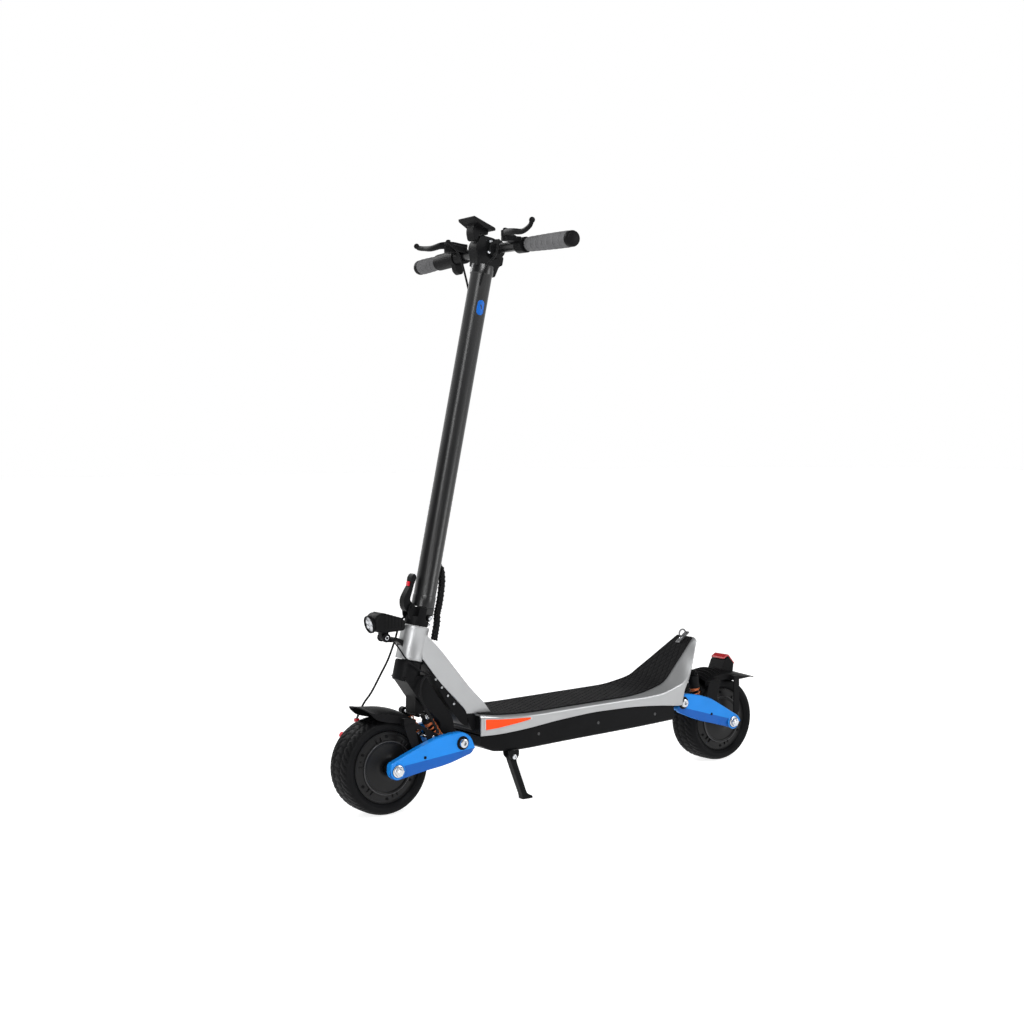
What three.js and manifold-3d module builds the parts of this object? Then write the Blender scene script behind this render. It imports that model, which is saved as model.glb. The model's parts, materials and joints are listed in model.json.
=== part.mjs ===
// Electric kick scooter with a swingarm suspension at both ends and a folding stem.
// Millimetres. +X is forward, +Y is the rider's left and +Z is up.
// The origin is on the floor, in the middle of the overall length and width.
import * as THREE from "three";
import { mergeVertices } from "three/addons/utils/BufferGeometryUtils.js";
import Module from "manifold-3d";

const wasm = await Module();
wasm.setup();

// ---- Driving dimensions ----

const GAP = 0.3; // between pieces that touch
const DEGREE = Math.PI / 180;

const WHEEL = { radius: 101.5, rimRadius: 76, segments: 36, z: 101.5 };
const FRONT_AXLE_X = 484;
const REAR_AXLE_X = -463.8;

// Swingarms: two side plates each, on a pivot bolt.
const ARM = { inner: 62, outer: 78, bolt: 6, bore: 6.4, headRadius: 10, headOuter: 88 };
const FRONT_PIVOT = { x: 324, z: 142 };
const REAR_PIVOT = { x: -301.5, z: 164 };

// Shock absorbers: upper and lower eye, and how far they stand from the middle.
const FRONT_SHOCK = { top: [397, 203], bottom: [359, 145], y: 45, cap: 14, damper: 43 };
const REAR_SHOCK = { top: [-360, 226], bottom: [-372, 150], y: 46, cap: 36, damper: 55 };
const SPRING = { radius: 13, bore: 8.5 };
const DAMPER_RADIUS = 7;
const ROD_RADIUS = 4;
const SHOCK_BOLT = { radius: 4, bore: 4.4, lugHalf: 20 };

// Steering: the raked axis meets the floor at FLOOR_X. Heights below are along it.
const STEERING = { floorX: 484.2, rake: 13.36 * DEGREE };
const HEAD_TUBE = { bottom: 327, top: 401, radius: 30, bore: 24 };
const CROWN = { bottom: 281, radius: 29 };
const STEERER_RADIUS = 15;
const NECK_HALF = 27; // half the width of the fork's neck
const FOLD_BASE = { bottom: 401.5, top: 441.4, radius: 26, shoulder: 421 };
const FOLD_PIN = { x: -16, z: 422, radius: 4 };
const LATCH_PIVOT = { x: 26, z: 438, radius: 3 };

// Stem: its axis leaves the fold a little behind the steering axis, and stands a little steeper.
const STEM = { x: 371.4, z: 440, rake: 12.34 * DEGREE, radius: 24, wall: 3, foot: -6, top: 745 };
const BAR = { x: 191, z: 1203, radius: 11, half: 301, centreHalf: 50, droop: 2.05 * DEGREE };
const GRIP = { radius: 17, leftStart: 145, rightStart: 210 };

// Deck, one row per station along X. mat, top and side are half widths; the rest are heights.
const DECK = [
  { x: 264, mat: 51, top: 55, side: 60, surface: 192.7, shoulder: 187, edge: 146 },
  { x: 221, mat: 69, top: 73, side: 79, surface: 189.7, shoulder: 185, edge: 150 },
  { x: 147, mat: 79, top: 84, side: 90, surface: 188.7, shoulder: 184, edge: 158 },
  { x: 65, mat: 79, top: 84, side: 90, surface: 190.7, shoulder: 186, edge: 166.5 },
  { x: -48, mat: 80, top: 84, side: 90, surface: 193.7, shoulder: 189, edge: 173 },
  { x: -121, mat: 80, top: 84, side: 90, surface: 195.7, shoulder: 190, edge: 173 },
  { x: -171, mat: 74, top: 80, side: 90, surface: 198.7, shoulder: 191, edge: 171 },
  { x: -222, mat: 68, top: 74, side: 90, surface: 207.7, shoulder: 194, edge: 167 },
  { x: -250, mat: 64, top: 69, side: 89, surface: 215.7, shoulder: 200, edge: 164 },
  { x: -277, mat: 58, top: 62, side: 87, surface: 233.7, shoulder: 207, edge: 161 },
  { x: -289, mat: 54, top: 58, side: 86, surface: 242.7, shoulder: 210, edge: 160 },
  { x: -302, mat: 50, top: 54, side: 83, surface: 252.3, shoulder: 215, edge: 195 },
  { x: -329, mat: 42, top: 46, side: 70, surface: 272.7, shoulder: 232, edge: 222 },
  { x: -378, mat: 27, top: 32, side: 40, surface: 309.7, shoulder: 303, edge: 299 },
];
const DECK_WALL = 4;
const MAT_THICKNESS = 3;

// Battery tray under the deck: half width, underside and the clearance under the deck's edge.
const TRAY = [
  { x: 264, half: 57, low: 124 },
  { x: 232, half: 74, low: 111 },
  { x: 192, half: 82, low: 110 },
  { x: 147, half: 87, low: 111.5 },
  { x: 65, half: 87, low: 115 },
  { x: -48, half: 87, low: 119 },
  { x: -121, half: 87, low: 121.5 },
  { x: -171, half: 87, low: 123.5 },
  { x: -222, half: 87, low: 126 },
  { x: -266, half: 85, low: 128 },
];
const TRAY_WALL = 3;
const TRAY_CLEARANCE = 0.6;

// Cable routes: left and right sides of the bar, and the bundle that bends past the fold.
const HANDLEBAR_CABLES = [
  [[236, 96, 1212], [232, 84, 1192], [226, 66, 1180], [228, 46, 1168], [232, 26, 1140], [237, 0, 1072]],
  [[240, -98, 1222], [252, -84, 1226], [246, -66, 1214], [236, -54, 1190], [231, -42, 1150],
    [234, -20, 1105], [237, 0, 1072]],
];
const UPPER_BUNDLE = [
  [336.5, 0, 413], [332, 0, 430], [327, 0, 456], [324, 0, 485], [326, 0, 510], [345, 0, 530],
];

const KICKSTAND = { x: 196, y: 75, z: 98, footX: 158, half: 8, pin: 4 };
const HEADLIGHT = { pivotX: 470, pivotZ: 371, half: 24 };

// ---- Shapes ----

// Shape with its corners rounded. Each corner is [x, y] or [x, y, radius].
function roundedShape(corners) {
  const shape = new THREE.Shape();
  corners.forEach((corner, i) => {
    const at = new THREE.Vector2(corner[0], corner[1]);
    const before = new THREE.Vector2(...corners.at(i - 1).slice(0, 2));
    const after = new THREE.Vector2(...corners[(i + 1) % corners.length].slice(0, 2));
    const room = 0.45 * Math.min(at.distanceTo(before), at.distanceTo(after));
    const radius = Math.min(corner[2] ?? 0, room);
    const enter = at.clone().add(before.sub(at).setLength(radius));
    const leave = at.clone().add(after.sub(at).setLength(radius));
    if (i === 0) shape.moveTo(enter.x, enter.y);
    else shape.lineTo(enter.x, enter.y);
    if (radius > 0) shape.quadraticCurveTo(at.x, at.y, leave.x, leave.y);
  });
  shape.closePath();
  return shape;
}

function circleShape(x, y, radius, sides) {
  const points = [];
  for (let i = 0; i < sides; i++) {
    const angle = (2 * Math.PI * i) / sides;
    points.push(new THREE.Vector2(x + radius * Math.cos(angle), y + radius * Math.sin(angle)));
  }
  return new THREE.Shape(points);
}

// Outline in the XZ plane, extruded from y0 to y1.
function slabY(corners, y0, y1) {
  const shape = corners.isShape ? corners : roundedShape(corners);
  const options = { depth: y1 - y0, bevelEnabled: false, curveSegments: 2 };
  return new THREE.ExtrudeGeometry(shape, options).rotateX(Math.PI / 2).translate(0, y1, 0);
}

// Outline in the XY plane, extruded from z0 to z1.
function slabZ(corners, z0, z1) {
  const options = { depth: z1 - z0, bevelEnabled: false, curveSegments: 2 };
  return new THREE.ExtrudeGeometry(roundedShape(corners), options).translate(0, 0, z0);
}

function box(x0, x1, y0, y1, z0, z1) {
  const geometry = new THREE.BoxGeometry(x1 - x0, y1 - y0, z1 - z0);
  return geometry.translate((x0 + x1) / 2, (y0 + y1) / 2, (z0 + z1) / 2);
}

function cylinderY(radius, y0, y1, x = 0, z = 0, sides = 12) {
  return new THREE.CylinderGeometry(radius, radius, y1 - y0, sides).translate(x, (y0 + y1) / 2, z);
}

function cylinderZ(radius, z0, z1, x = 0, y = 0, sides = 16) {
  const geometry = new THREE.CylinderGeometry(radius, radius, z1 - z0, sides);
  return geometry.rotateX(Math.PI / 2).translate(x, y, (z0 + z1) / 2);
}

// Ring or disc round the Y axis from [radius, y] points.
function latheY(profile, segments) {
  const points = profile.map(([radius, y]) => new THREE.Vector2(radius, y));
  return new THREE.LatheGeometry(points, segments);
}

// Round bar or cable along a smooth curve through the points.
function tube(points, radius, steps, sides = 8) {
  const curve = new THREE.CatmullRomCurve3(points.map((p) => new THREE.Vector3(...p)));
  const options = { steps, extrudePath: curve, bevelEnabled: false };
  return new THREE.ExtrudeGeometry(circleShape(0, 0, radius, sides), options);
}

// Skin over rings of [x, y, z] points that all have the same number of corners, with closed ends.
function loft(rings) {
  const corners = rings[0].length;
  const positions = rings.flat(2);
  const index = [];
  for (let i = 0; i + 1 < rings.length; i++) {
    for (let j = 0; j < corners; j++) {
      const a = i * corners + j;
      const b = i * corners + ((j + 1) % corners);
      index.push(a, b, b + corners, a, b + corners, a + corners);
    }
  }
  const last = (rings.length - 1) * corners;
  for (let j = 1; j + 1 < corners; j++) {
    index.push(0, j + 1, j);
    index.push(last, last + j, last + j + 1);
  }
  const geometry = new THREE.BufferGeometry();
  geometry.setAttribute("position", new THREE.Float32BufferAttribute(positions, 3));
  geometry.setIndex(index);
  return geometry;
}

// ---- Solids ----

function solidFromArrays(positions, triangles) {
  return new wasm.Manifold(
    new wasm.Mesh({ numProp: 3, vertProperties: positions, triVerts: triangles }),
  );
}

// Closed geometry as a manifold-3d solid that faces out.
function solid(shape) {
  if (!shape.isBufferGeometry) return shape;
  const bare = new THREE.BufferGeometry();
  bare.setAttribute("position", shape.getAttribute("position"));
  if (shape.index) bare.setIndex(shape.index);
  const merged = mergeVertices(bare, 1e-4);
  const positions = merged.getAttribute("position").array;
  const triangles = new Uint32Array(merged.index.array);
  const made = solidFromArrays(positions, triangles);
  if (made.volume() >= 0) return made;
  for (let i = 0; i < triangles.length; i += 3) {
    [triangles[i + 1], triangles[i + 2]] = [triangles[i + 2], triangles[i + 1]];
  }
  return solidFromArrays(positions, triangles);
}

function join(...shapes) {
  return shapes.map(solid).reduce((all, next) => all.add(next));
}

function cut(shape, ...tools) {
  return tools.map(solid).reduce((rest, tool) => rest.subtract(tool), solid(shape));
}

function common(a, b) {
  return solid(a).intersect(solid(b));
}

function geometryOf(shape) {
  const mesh = solid(shape).getMesh();
  const geometry = new THREE.BufferGeometry();
  const positions = new Float32Array(mesh.vertProperties);
  geometry.setAttribute("position", new THREE.BufferAttribute(positions, 3));
  geometry.setIndex(new THREE.BufferAttribute(new Uint32Array(mesh.triVerts), 1));
  geometry.computeVertexNormals();
  return geometry;
}

// ---- Materials ----

function finish(color, roughness, metalness) {
  return () => new THREE.MeshStandardMaterial({ color, roughness, metalness });
}

const silverPaint = finish(0xd3d4d6, 0.42, 0.35);
const blackPaint = finish(0x2b2c2e, 0.45, 0.2);
const bluePaint = finish(0x3a9bdc, 0.38, 0.3);
const blackPlastic = finish(0x2c2d2f, 0.55, 0.0);
const rubber = finish(0x262729, 0.85, 0.0);
const matRubber = finish(0x3b3c3e, 0.9, 0.0);
const gripFoam = finish(0x8d8e90, 0.8, 0.0);
const steel = finish(0xc2c4c6, 0.3, 0.9);
const brushedSteel = finish(0x9fa1a3, 0.4, 0.85);
const copperSpring = finish(0xa2673a, 0.35, 0.6);
const orangeLens = finish(0xff8a1c, 0.25, 0.0);
const redLens = finish(0xb3131b, 0.2, 0.0);
const redPlastic = finish(0xc0182f, 0.4, 0.0);
const batteryWrap = finish(0x2f5fa8, 0.5, 0.0);
const castAluminium = finish(0x8c8e90, 0.5, 0.6);

function piece(name, shape, material) {
  const mesh = new THREE.Mesh(geometryOf(shape), material());
  mesh.name = name;
  return mesh;
}

function group(...children) {
  return new THREE.Group().add(...children);
}

// ---- Wheels ----

function tyre() {
  const r = WHEEL.radius / Math.cos(Math.PI / WHEEL.segments);
  const bead = WHEEL.rimRadius + GAP;
  const shoulder = [[bead, 30], [82, 37], [90, 40], [97.5, 35], [r, 20]];
  const mirrored = shoulder.map(([radius, y]) => [radius, -y]).reverse();
  const profile = [...shoulder, ...mirrored, shoulder[0]];
  return latheY(profile, WHEEL.segments).rotateY(Math.PI / WHEEL.segments);
}

// Hollow motor shell: rim, side covers and the two bearing bores that the axle runs in.
function hubShell() {
  const rim = WHEEL.rimRadius - GAP;
  const outside = [[rim, 30], [60, 33], [55, 37], [22, 38], [12.6, 38]];
  const inside = [[12.6, 34], [50, 30], [70, 26]];
  const half = [...outside, ...inside];
  const mirrored = half.map(([radius, y]) => [radius, -y]).reverse();
  return latheY([...half, ...mirrored, half[0]], 20);
}

function brakeDisc() {
  const profile = [[24, -43], [68, -43], [68, -44.8], [24, -44.8], [24, -43]];
  const ring = latheY(profile, 24);
  const carrier = latheY([[13.5, -38.4], [30, -38.4], [30, -44], [13.5, -44], [13.5, -38.4]], 16);
  return join(ring, carrier);
}

// Axle with the stator pressed on it, its bearing seats, washers and hexagon nuts.
function motorAxle() {
  const nut = (y0, y1) => cylinderY(10, y0, y1, 0, 0, 6);
  const washer = (y0, y1) => cylinderY(12, y0, y1);
  const nutInner = ARM.outer + GAP;
  const shapes = [
    cylinderY(ARM.bolt, -90, 90, 0, 0, 12),
    cylinderY(12.1, -37, 37),
    cylinderY(62, -19, 19, 0, 0, 20),
  ];
  for (const side of [-1, 1]) {
    const span = (a, b) => [Math.min(side * a, side * b), Math.max(side * a, side * b)];
    shapes.push(washer(...span(nutInner, nutInner + 1.7)));
    shapes.push(nut(...span(nutInner + 1.6, 87)));
  }
  return join(...shapes);
}

function wheel(end, x) {
  const parts = group(
    piece(`${end}_tyre`, tyre(), rubber),
    piece(`${end}_hub_motor`, hubShell(), blackPaint),
    piece(`${end}_brake_disc`, brakeDisc(), brushedSteel),
    piece(`${end}_motor_axle`, motorAxle(), steel),
  );
  parts.position.set(x, 0, WHEEL.z);
  return parts;
}

// ---- Swingarms ----

// Two side plates and the cross bar that joins them below the pivot.
function swingarm(outline, pivot, axleX, bar) {
  const plates = [[ARM.inner, ARM.outer], [-ARM.outer, -ARM.inner]].map(([y0, y1]) =>
    cut(
      slabY(outline, y0, y1),
      cylinderY(ARM.bore, y0 - 1, y1 + 1, pivot.x, pivot.z),
      cylinderY(ARM.bore, y0 - 1, y1 + 1, axleX, WHEEL.z),
    ),
  );
  return join(...plates, cylinderY(7, -ARM.inner - 2, ARM.inner + 2, bar[0], bar[1], 16));
}

function pivotBolt(pivot) {
  const shank = cylinderY(ARM.bolt, -ARM.headOuter, ARM.headOuter, pivot.x, pivot.z);
  const heads = [-1, 1].map((side) => {
    const near = side * (ARM.outer + GAP);
    const far = side * ARM.headOuter;
    return cylinderY(ARM.headRadius, Math.min(near, far), Math.max(near, far), pivot.x, pivot.z);
  });
  return join(shank, ...heads);
}

// Brake caliper astride the disc, on a bracket that slips over the axle.
function caliper(axleX, angle) {
  const body = box(50, 84, -61.6, -39.2, -14, 14);
  const slot = box(40, 71, -47, -41, -20, 20);
  const bracket = slabY([[-12, -10, 5], [-12, 10, 5], [60, 12], [60, -12]], -61.6, -57);
  const shape = cut(join(cut(body, slot), bracket), cylinderY(ARM.bore, -70, -50));
  return shape.rotate([0, -angle, 0]).translate([axleX, 0, WHEEL.z]);
}

const FRONT_ARM_OUTLINE = [
  [501, 117, 5], [450, 138, 20], [381, 162, 20], [323, 166, 16], [302, 154, 12], [290, 125, 8],
  [296, 116, 5], [356, 99, 20], [424, 91, 20], [485, 80, 12], [502, 92, 8],
];

const REAR_ARM_OUTLINE = [
  [-306, 185, 8], [-347, 179, 15], [-389, 167, 20], [-482, 114, 10], [-489, 98, 8], [-475, 82, 8],
  [-422, 98, 20], [-357, 115, 20], [-293, 141, 6], [-287, 154, 6],
];

// ---- Mudguards ----

// Arc of points round an axle, from one angle to another, in degrees above the +X direction.
function arc(axleX, radius, from, to, steps) {
  const points = [];
  for (let i = 0; i <= steps; i++) {
    const angle = (from + ((to - from) * i) / steps) * DEGREE;
    points.push([axleX + radius * Math.cos(angle), WHEEL.z + radius * Math.sin(angle)]);
  }
  return points;
}

const GUARD = { half: 46, skirt: 43.2, inner: 115, outer: 119, stay: [58.6, ARM.inner - GAP] };

function bothSides(y0, y1, make) {
  return [make(y0, y1), make(-y1, -y0)];
}

// Mudguard: crown, side skirts, and on each side a stay with the webs that reach out to it.
function mudguard(shapes) {
  const { half, skirt, stay } = GUARD;
  return join(
    ...shapes.crown.map((outline) => slabY(outline, -half, half)),
    ...bothSides(skirt, half, (y0, y1) => slabY(shapes.skirt, y0, y1)),
    ...shapes.stays.flatMap((outline) => bothSides(...stay, (y0, y1) => slabY(outline, y0, y1))),
    ...shapes.webs.flatMap((web) => bothSides(skirt, stay[1], (y0, y1) => slabY(web, y0, y1))),
  );
}

function frontFender() {
  const x = FRONT_AXLE_X;
  const crown = [
    [532, 229.5], [510, 228], ...arc(x, GUARD.outer + 5, 86, 92, 1),
    ...arc(x, GUARD.outer, 105, 119, 2), ...arc(x, GUARD.inner, 119, 90, 3), [512, 222], [532, 226],
  ];
  const tongue = slabY([[430, 203], [424, 208], [414, 199.5], [416, 195.5]], -28, 28);
  const guard = mudguard({
    crown: [crown],
    skirt: [[527, 224], ...arc(x, GUARD.outer + 2, 88, 90, 1), ...arc(x, GUARD.outer - 1, 98, 119, 3),
      ...arc(x, 97, 119, 86, 4), [514, 209]],
    stays: [[
      [459, 191], [432, 196], [400, 178], [359, 152, 6], [332, 168, 4], [330, 158, 4],
      [352, 134, 5], [430, 124, 6], [447, 158, 8],
    ]],
    webs: [[[459, 191], [459, 203], [430, 199], [432, 194]]],
  });
  const slot = slabY([[410, 178, 3], [430, 181, 3], [433, 168, 3], [421, 141, 4], [400, 152, 5]], -70, 70);
  const aroundShockPin = cylinderY(SHOCK_BOLT.radius + 1, -70, 70, ...FRONT_SHOCK.bottom);
  return cut(join(guard, tongue), slot, aroundShockPin);
}

function rearFender() {
  const x = REAR_AXLE_X;
  const crown = [
    [-396, 212], [-410, 219], [-430, 223.5], [-463, 225], [-500, 220], [-537, 209], [-586, 195.5],
    [-584, 191.5], [-540, 194], ...arc(x, GUARD.inner, 126, 66, 4), [-407, 208],
  ];
  const lampBase = [[-474, 221], [-486, 245, 3], [-498, 253, 3], [-515, 234, 3], [-512, 214]];
  const guard = mudguard({
    crown: [crown],
    skirt: [
      [-410, 218], [-463, 224], [-520, 212], [-565, 199], [-541, 193],
      ...arc(x, 97, 100, 60, 4), [-390, 168], [-392, 205],
    ],
    stays: [
      [[-400, 200], [-440, 200], [-424, 168], [-430, 140, 5], [-398, 146, 5], [-390, 168]],
      [[-482, 206], [-499, 206], [-499, 120, 4], [-481, 112, 4]],
    ],
    webs: [
      [[-402, 191], [-402, 199], [-430, 204], [-434, 199]],
      [[-482, 198], [-482, 206], [-499, 206], [-499, 198]],
    ],
  });
  return join(guard, slabY(lampBase, -25, 25));
}

function tailLightLens() {
  const outline = [
    [-484, 246.6], [-483.4, 250], [-498.6, 258.4, 3], [-520.4, 233.4], [-516.8, 232], [-498.4, 253.6],
  ];
  return slabY(outline, -22, 22);
}

// ---- Shock absorbers ----

// Each end has a left and a right shock. In their own frame Z runs from the upper eye down to the
// lower one. One cross bolt holds both upper eyes.
function shocks(end, spec, lowerCrossPin) {
  const [topX, topZ] = spec.top;
  const [bottomX, bottomZ] = spec.bottom;
  const length = Math.hypot(bottomX - topX, bottomZ - topZ);
  const springEnd = length - 12;
  const eye = (y, z) => cylinderY(8, y - 7, y + 7, 0, z, 14);
  const body = (y) => {
    const cap = cylinderZ(SPRING.radius, 6, spec.cap - GAP, 0, y, 18);
    const damper = cylinderZ(DAMPER_RADIUS, 6, spec.damper, 0, y, 12);
    const bore = cylinderZ(ROD_RADIUS + 0.6, spec.cap + 2, spec.damper + 1, 0, y, 12);
    return cut(join(eye(y, 0), cap, damper), bore);
  };
  const rod = (y) => join(
    eye(y, length),
    cylinderZ(SPRING.radius, springEnd + GAP, length - 6, 0, y, 18),
    cylinderZ(ROD_RADIUS, spec.cap + 12, length - 4, 0, y, 10),
  );
  const spring = (y) => cut(
    cylinderZ(SPRING.radius - 0.5, spec.cap, springEnd, 0, y, 18),
    cylinderZ(SPRING.bore, spec.cap - 1, springEnd + 1, 0, y, 14),
  );
  const crossBolt = cylinderY(SHOCK_BOLT.radius, -spec.y - 9, spec.y + 9, 0, 0, 12);
  const crossPin = cylinderY(SHOCK_BOLT.radius, -ARM.inner + 1, ARM.inner - 1, 0, length, 12);
  const rods = lowerCrossPin
    ? [piece(`${end}_shock_rods`, join(rod(spec.y), rod(-spec.y), crossPin), steel)]
    : [
      piece(`${end}_shock_rod_left`, rod(spec.y), steel),
      piece(`${end}_shock_rod_right`, rod(-spec.y), steel),
    ];
  const parts = group(
    piece(`${end}_shock_bodies`, join(body(spec.y), body(-spec.y), crossBolt), blackPaint),
    ...rods,
    piece(`${end}_spring_left`, spring(spec.y), copperSpring),
    piece(`${end}_spring_right`, spring(-spec.y), copperSpring),
  );
  parts.position.set(topX, 0, topZ);
  parts.rotation.y = Math.atan2(bottomX - topX, bottomZ - topZ);
  return parts;
}

// ---- Chassis ----

function deckRing(station, inset) {
  const side = station.side - inset;
  const top = station.top - inset;
  const edge = inset > 0 ? station.edge - 80 : station.edge;
  return [
    [-side, edge], [side, edge], [side, station.shoulder - inset], [top, station.surface - inset],
    [-top, station.surface - inset], [-side, station.shoulder - inset],
  ].map(([y, z]) => [station.x, y, z]);
}

// Folded and welded aluminium shell, open below, with the block of the rear pivot bolt and the
// lug that holds the top bolt of the rear shocks.
function deckFrame() {
  const outside = loft(DECK.map((station) => deckRing(station, 0)));
  const inner = DECK.map((station) => ({ ...station }));
  inner[0].x -= DECK_WALL;
  inner.at(-1).x += DECK_WALL;
  const shell = cut(outside, loft(inner.map((station) => deckRing(station, DECK_WALL))));
  const pivotBlock = [
    [-270, 227], [-270, 150, 4], [-296, 152, 4], [-306, 176, 4], [-291, 200], [-290, 241],
  ];
  const [topX, topZ] = REAR_SHOCK.top;
  const shockLug = [
    [-342, 280.5], [topX + 9, topZ, 6], [topX, topZ - 8.5, 5], [topX - 10, topZ, 6], [-373, 303.5],
  ];
  const boss = cylinderY(13, -ARM.inner + GAP, ARM.inner - GAP, REAR_PIVOT.x, REAR_PIVOT.z, 20);
  return cut(
    join(
      shell,
      boss,
      slabY(pivotBlock, -55, 55),
      slabY(shockLug, -SHOCK_BOLT.lugHalf, SHOCK_BOLT.lugHalf),
    ),
    cylinderY(ARM.bore, -70, 70, REAR_PIVOT.x, REAR_PIVOT.z),
    cylinderY(SHOCK_BOLT.bore, -40, 40, topX, topZ, 12),
  );
}

function deckMat() {
  const ring = (station) => {
    const low = station.surface + GAP;
    const high = low + MAT_THICKNESS;
    return [[-station.mat, low], [station.mat, low], [station.mat, high], [-station.mat, high]].map(
      ([y, z]) => [station.x - (station.x > 0 ? 2 : -3), y, z],
    );
  };
  const aroundNeck = box(217, 300, -40, 40, 150, 230);
  const aroundCatchRing = box(-400, -344, -9.5, 9.5, 250, 330);
  return cut(loft(DECK.map(ring)), aroundNeck, aroundCatchRing);
}

// Silver neck: the head tube and the box beam that runs down to the front of the deck.
function neckBeam() {
  const side = [
    [392, 384], [348, 340], [272, 246], [241, 216], [224, 190.4], [264.4, 193.4], [264.4, 156],
    [274, 156, 4], [289, 203, 10], [349, 267, 10], [390, 322],
  ];
  const beam = slabY(side, -38, 38);
  const position = beam.getAttribute("position");
  for (let i = 0; i < position.count; i++) {
    const along = THREE.MathUtils.clamp((position.getX(i) - 264) / (392 - 264), 0, 1);
    position.setY(i, position.getY(i) * THREE.MathUtils.lerp(1, 0.7, along));
  }
  const rake = (shape) =>
    solid(shape).rotate([0, -STEERING.rake / DEGREE, 0]).translate([STEERING.floorX, 0, 0]);
  const tubeOutside = rake(cylinderZ(HEAD_TUBE.radius, HEAD_TUBE.bottom, HEAD_TUBE.top, 0, 0, 28));
  const bore = rake(cylinderZ(HEAD_TUBE.bore, HEAD_TUBE.bottom - 2, HEAD_TUBE.top + 2, 0, 0, 24));
  const above = rake(cylinderZ(60, HEAD_TUBE.top, HEAD_TUBE.top + 60));
  const below = rake(cylinderZ(33, CROWN.bottom, HEAD_TUBE.bottom));
  return cut(join(beam, tubeOutside), bore, above, below);
}

function trayRing(station, inset, height) {
  const half = station.half - inset;
  const low = station.low + inset;
  const chamfer = 6;
  return [
    [-half + chamfer, low], [half - chamfer, low], [half, low + chamfer], [half, height],
    [-half, height], [-half, low + chamfer],
  ].map(([y, z]) => [station.x, y, z]);
}

function deckEdgeAt(x) {
  const i = Math.max(1, DECK.findIndex((station) => station.x <= x));
  const [a, b] = [DECK[i - 1], DECK[i]];
  return THREE.MathUtils.mapLinear(x, a.x, b.x, a.edge, b.edge);
}

// Black tray that carries the battery, with the kickstand's two lugs under its left side.
function batteryTray() {
  const outside = loft(TRAY.map((s) => trayRing(s, 0, deckEdgeAt(s.x) - TRAY_CLEARANCE)));
  const inner = TRAY.map((station) => ({ ...station }));
  inner[0].x -= TRAY_WALL;
  inner.at(-1).x += TRAY_WALL;
  const hollow = loft(inner.map((s) => trayRing(s, TRAY_WALL, deckEdgeAt(s.x) + 20)));
  const { x, y, z, half, pin } = KICKSTAND;
  const outline = [[x - 13, 112], [x - 13, z, 6], [x, z - 9, 6], [x + 11, z, 6], [x + 13, 112]];
  const lug = (y0, y1) => slabY(outline, y0, y1);
  return join(
    cut(outside, hollow),
    lug(y - half - 4.5, y - half - GAP),
    lug(y + half + GAP, y + half + 4.5),
    cylinderY(pin, y - half - 7, y + half + 7, x, z, 12),
  );
}

function deckSideAt(x) {
  const i = Math.max(1, DECK.findIndex((station) => station.x <= x));
  const [a, b] = [DECK[i - 1], DECK[i]];
  return THREE.MathUtils.mapLinear(x, a.x, b.x, a.side, b.side);
}

// Wedge-shaped reflector that follows the flare of the deck's side.
function reflector(side) {
  const stations = [[257, 158, 184], [221, 164, 183.3], [150, 176, 182]];
  const ring = ([x, low, high]) => {
    const near = side * (deckSideAt(x) + 0.5);
    const far = side * (deckSideAt(x) + 2.5);
    return [[x, near, low], [x, far, low], [x, far, high], [x, near, high]];
  };
  return loft(stations.map(ring));
}

function catchRing() {
  const legs = [[-352, 16], [-360, 24], [-370, 27.5], [-380, 22], [-384, 12]];
  const points = legs.map(([x, rise]) => [x, 0, 300 + rise]);
  const foot = slabY([[-347, 293.5], [-347, 297], [-389, 326.2], [-389, 322.7]], -8, 8);
  return join(tube(points, 2, 12, 8), foot.translate(0, 0, -2));
}

function bearing(z0, z1) {
  const inner = STEERER_RADIUS + GAP;
  const outer = HEAD_TUBE.bore - GAP;
  return cut(cylinderZ(outer, z0, z1), cylinderZ(inner, z0 - 1, z1 + 1));
}

// ---- Steering ----

function inSteering(...children) {
  const frame = group(...children);
  frame.position.x = STEERING.floorX;
  frame.rotation.y = -STEERING.rake;
  return frame;
}

// Floor-frame geometry moved into the steering frame, so that one mesh can hold both.
function toSteering(shape) {
  return solid(shape).translate([-STEERING.floorX, 0, 0]).rotate([0, STEERING.rake / DEGREE, 0]);
}

// Steerer, crown collar and the box neck that reaches back and down to the front pivot.
function fork() {
  const [topX, topZ] = FRONT_SHOCK.top;
  const neck = [
    [438, 286], [420, 262, 8], [399, 232, 12], [347, 183, 10], [347, 156, 6], [337, 140], [316, 140],
    [310, 152], [316, 190, 10], [362, 250, 12], [384, 286],
  ];
  const shockLug = [
    [topX + 8, topZ + 42], [topX + 9, topZ, 6], [topX, topZ - 8.5, 5], [topX - 9, topZ, 6],
    [topX - 20, topZ + 22],
  ];
  const bored = cut(
    join(
      slabY(neck, -NECK_HALF, NECK_HALF),
      slabY(shockLug, -SHOCK_BOLT.lugHalf, SHOCK_BOLT.lugHalf),
      cylinderY(13, -ARM.inner + GAP, ARM.inner - GAP, FRONT_PIVOT.x, FRONT_PIVOT.z, 20),
    ),
    cylinderY(ARM.bore, -70, 70, FRONT_PIVOT.x, FRONT_PIVOT.z),
    cylinderY(SHOCK_BOLT.bore, -40, 40, topX, topZ, 12),
  );
  return join(
    toSteering(bored),
    cylinderZ(CROWN.radius, CROWN.bottom, HEAD_TUBE.bottom - 0.6, 0, 0, 28),
    cylinderZ(STEERER_RADIUS, CROWN.bottom, FOLD_BASE.bottom - GAP),
  );
}

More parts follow.
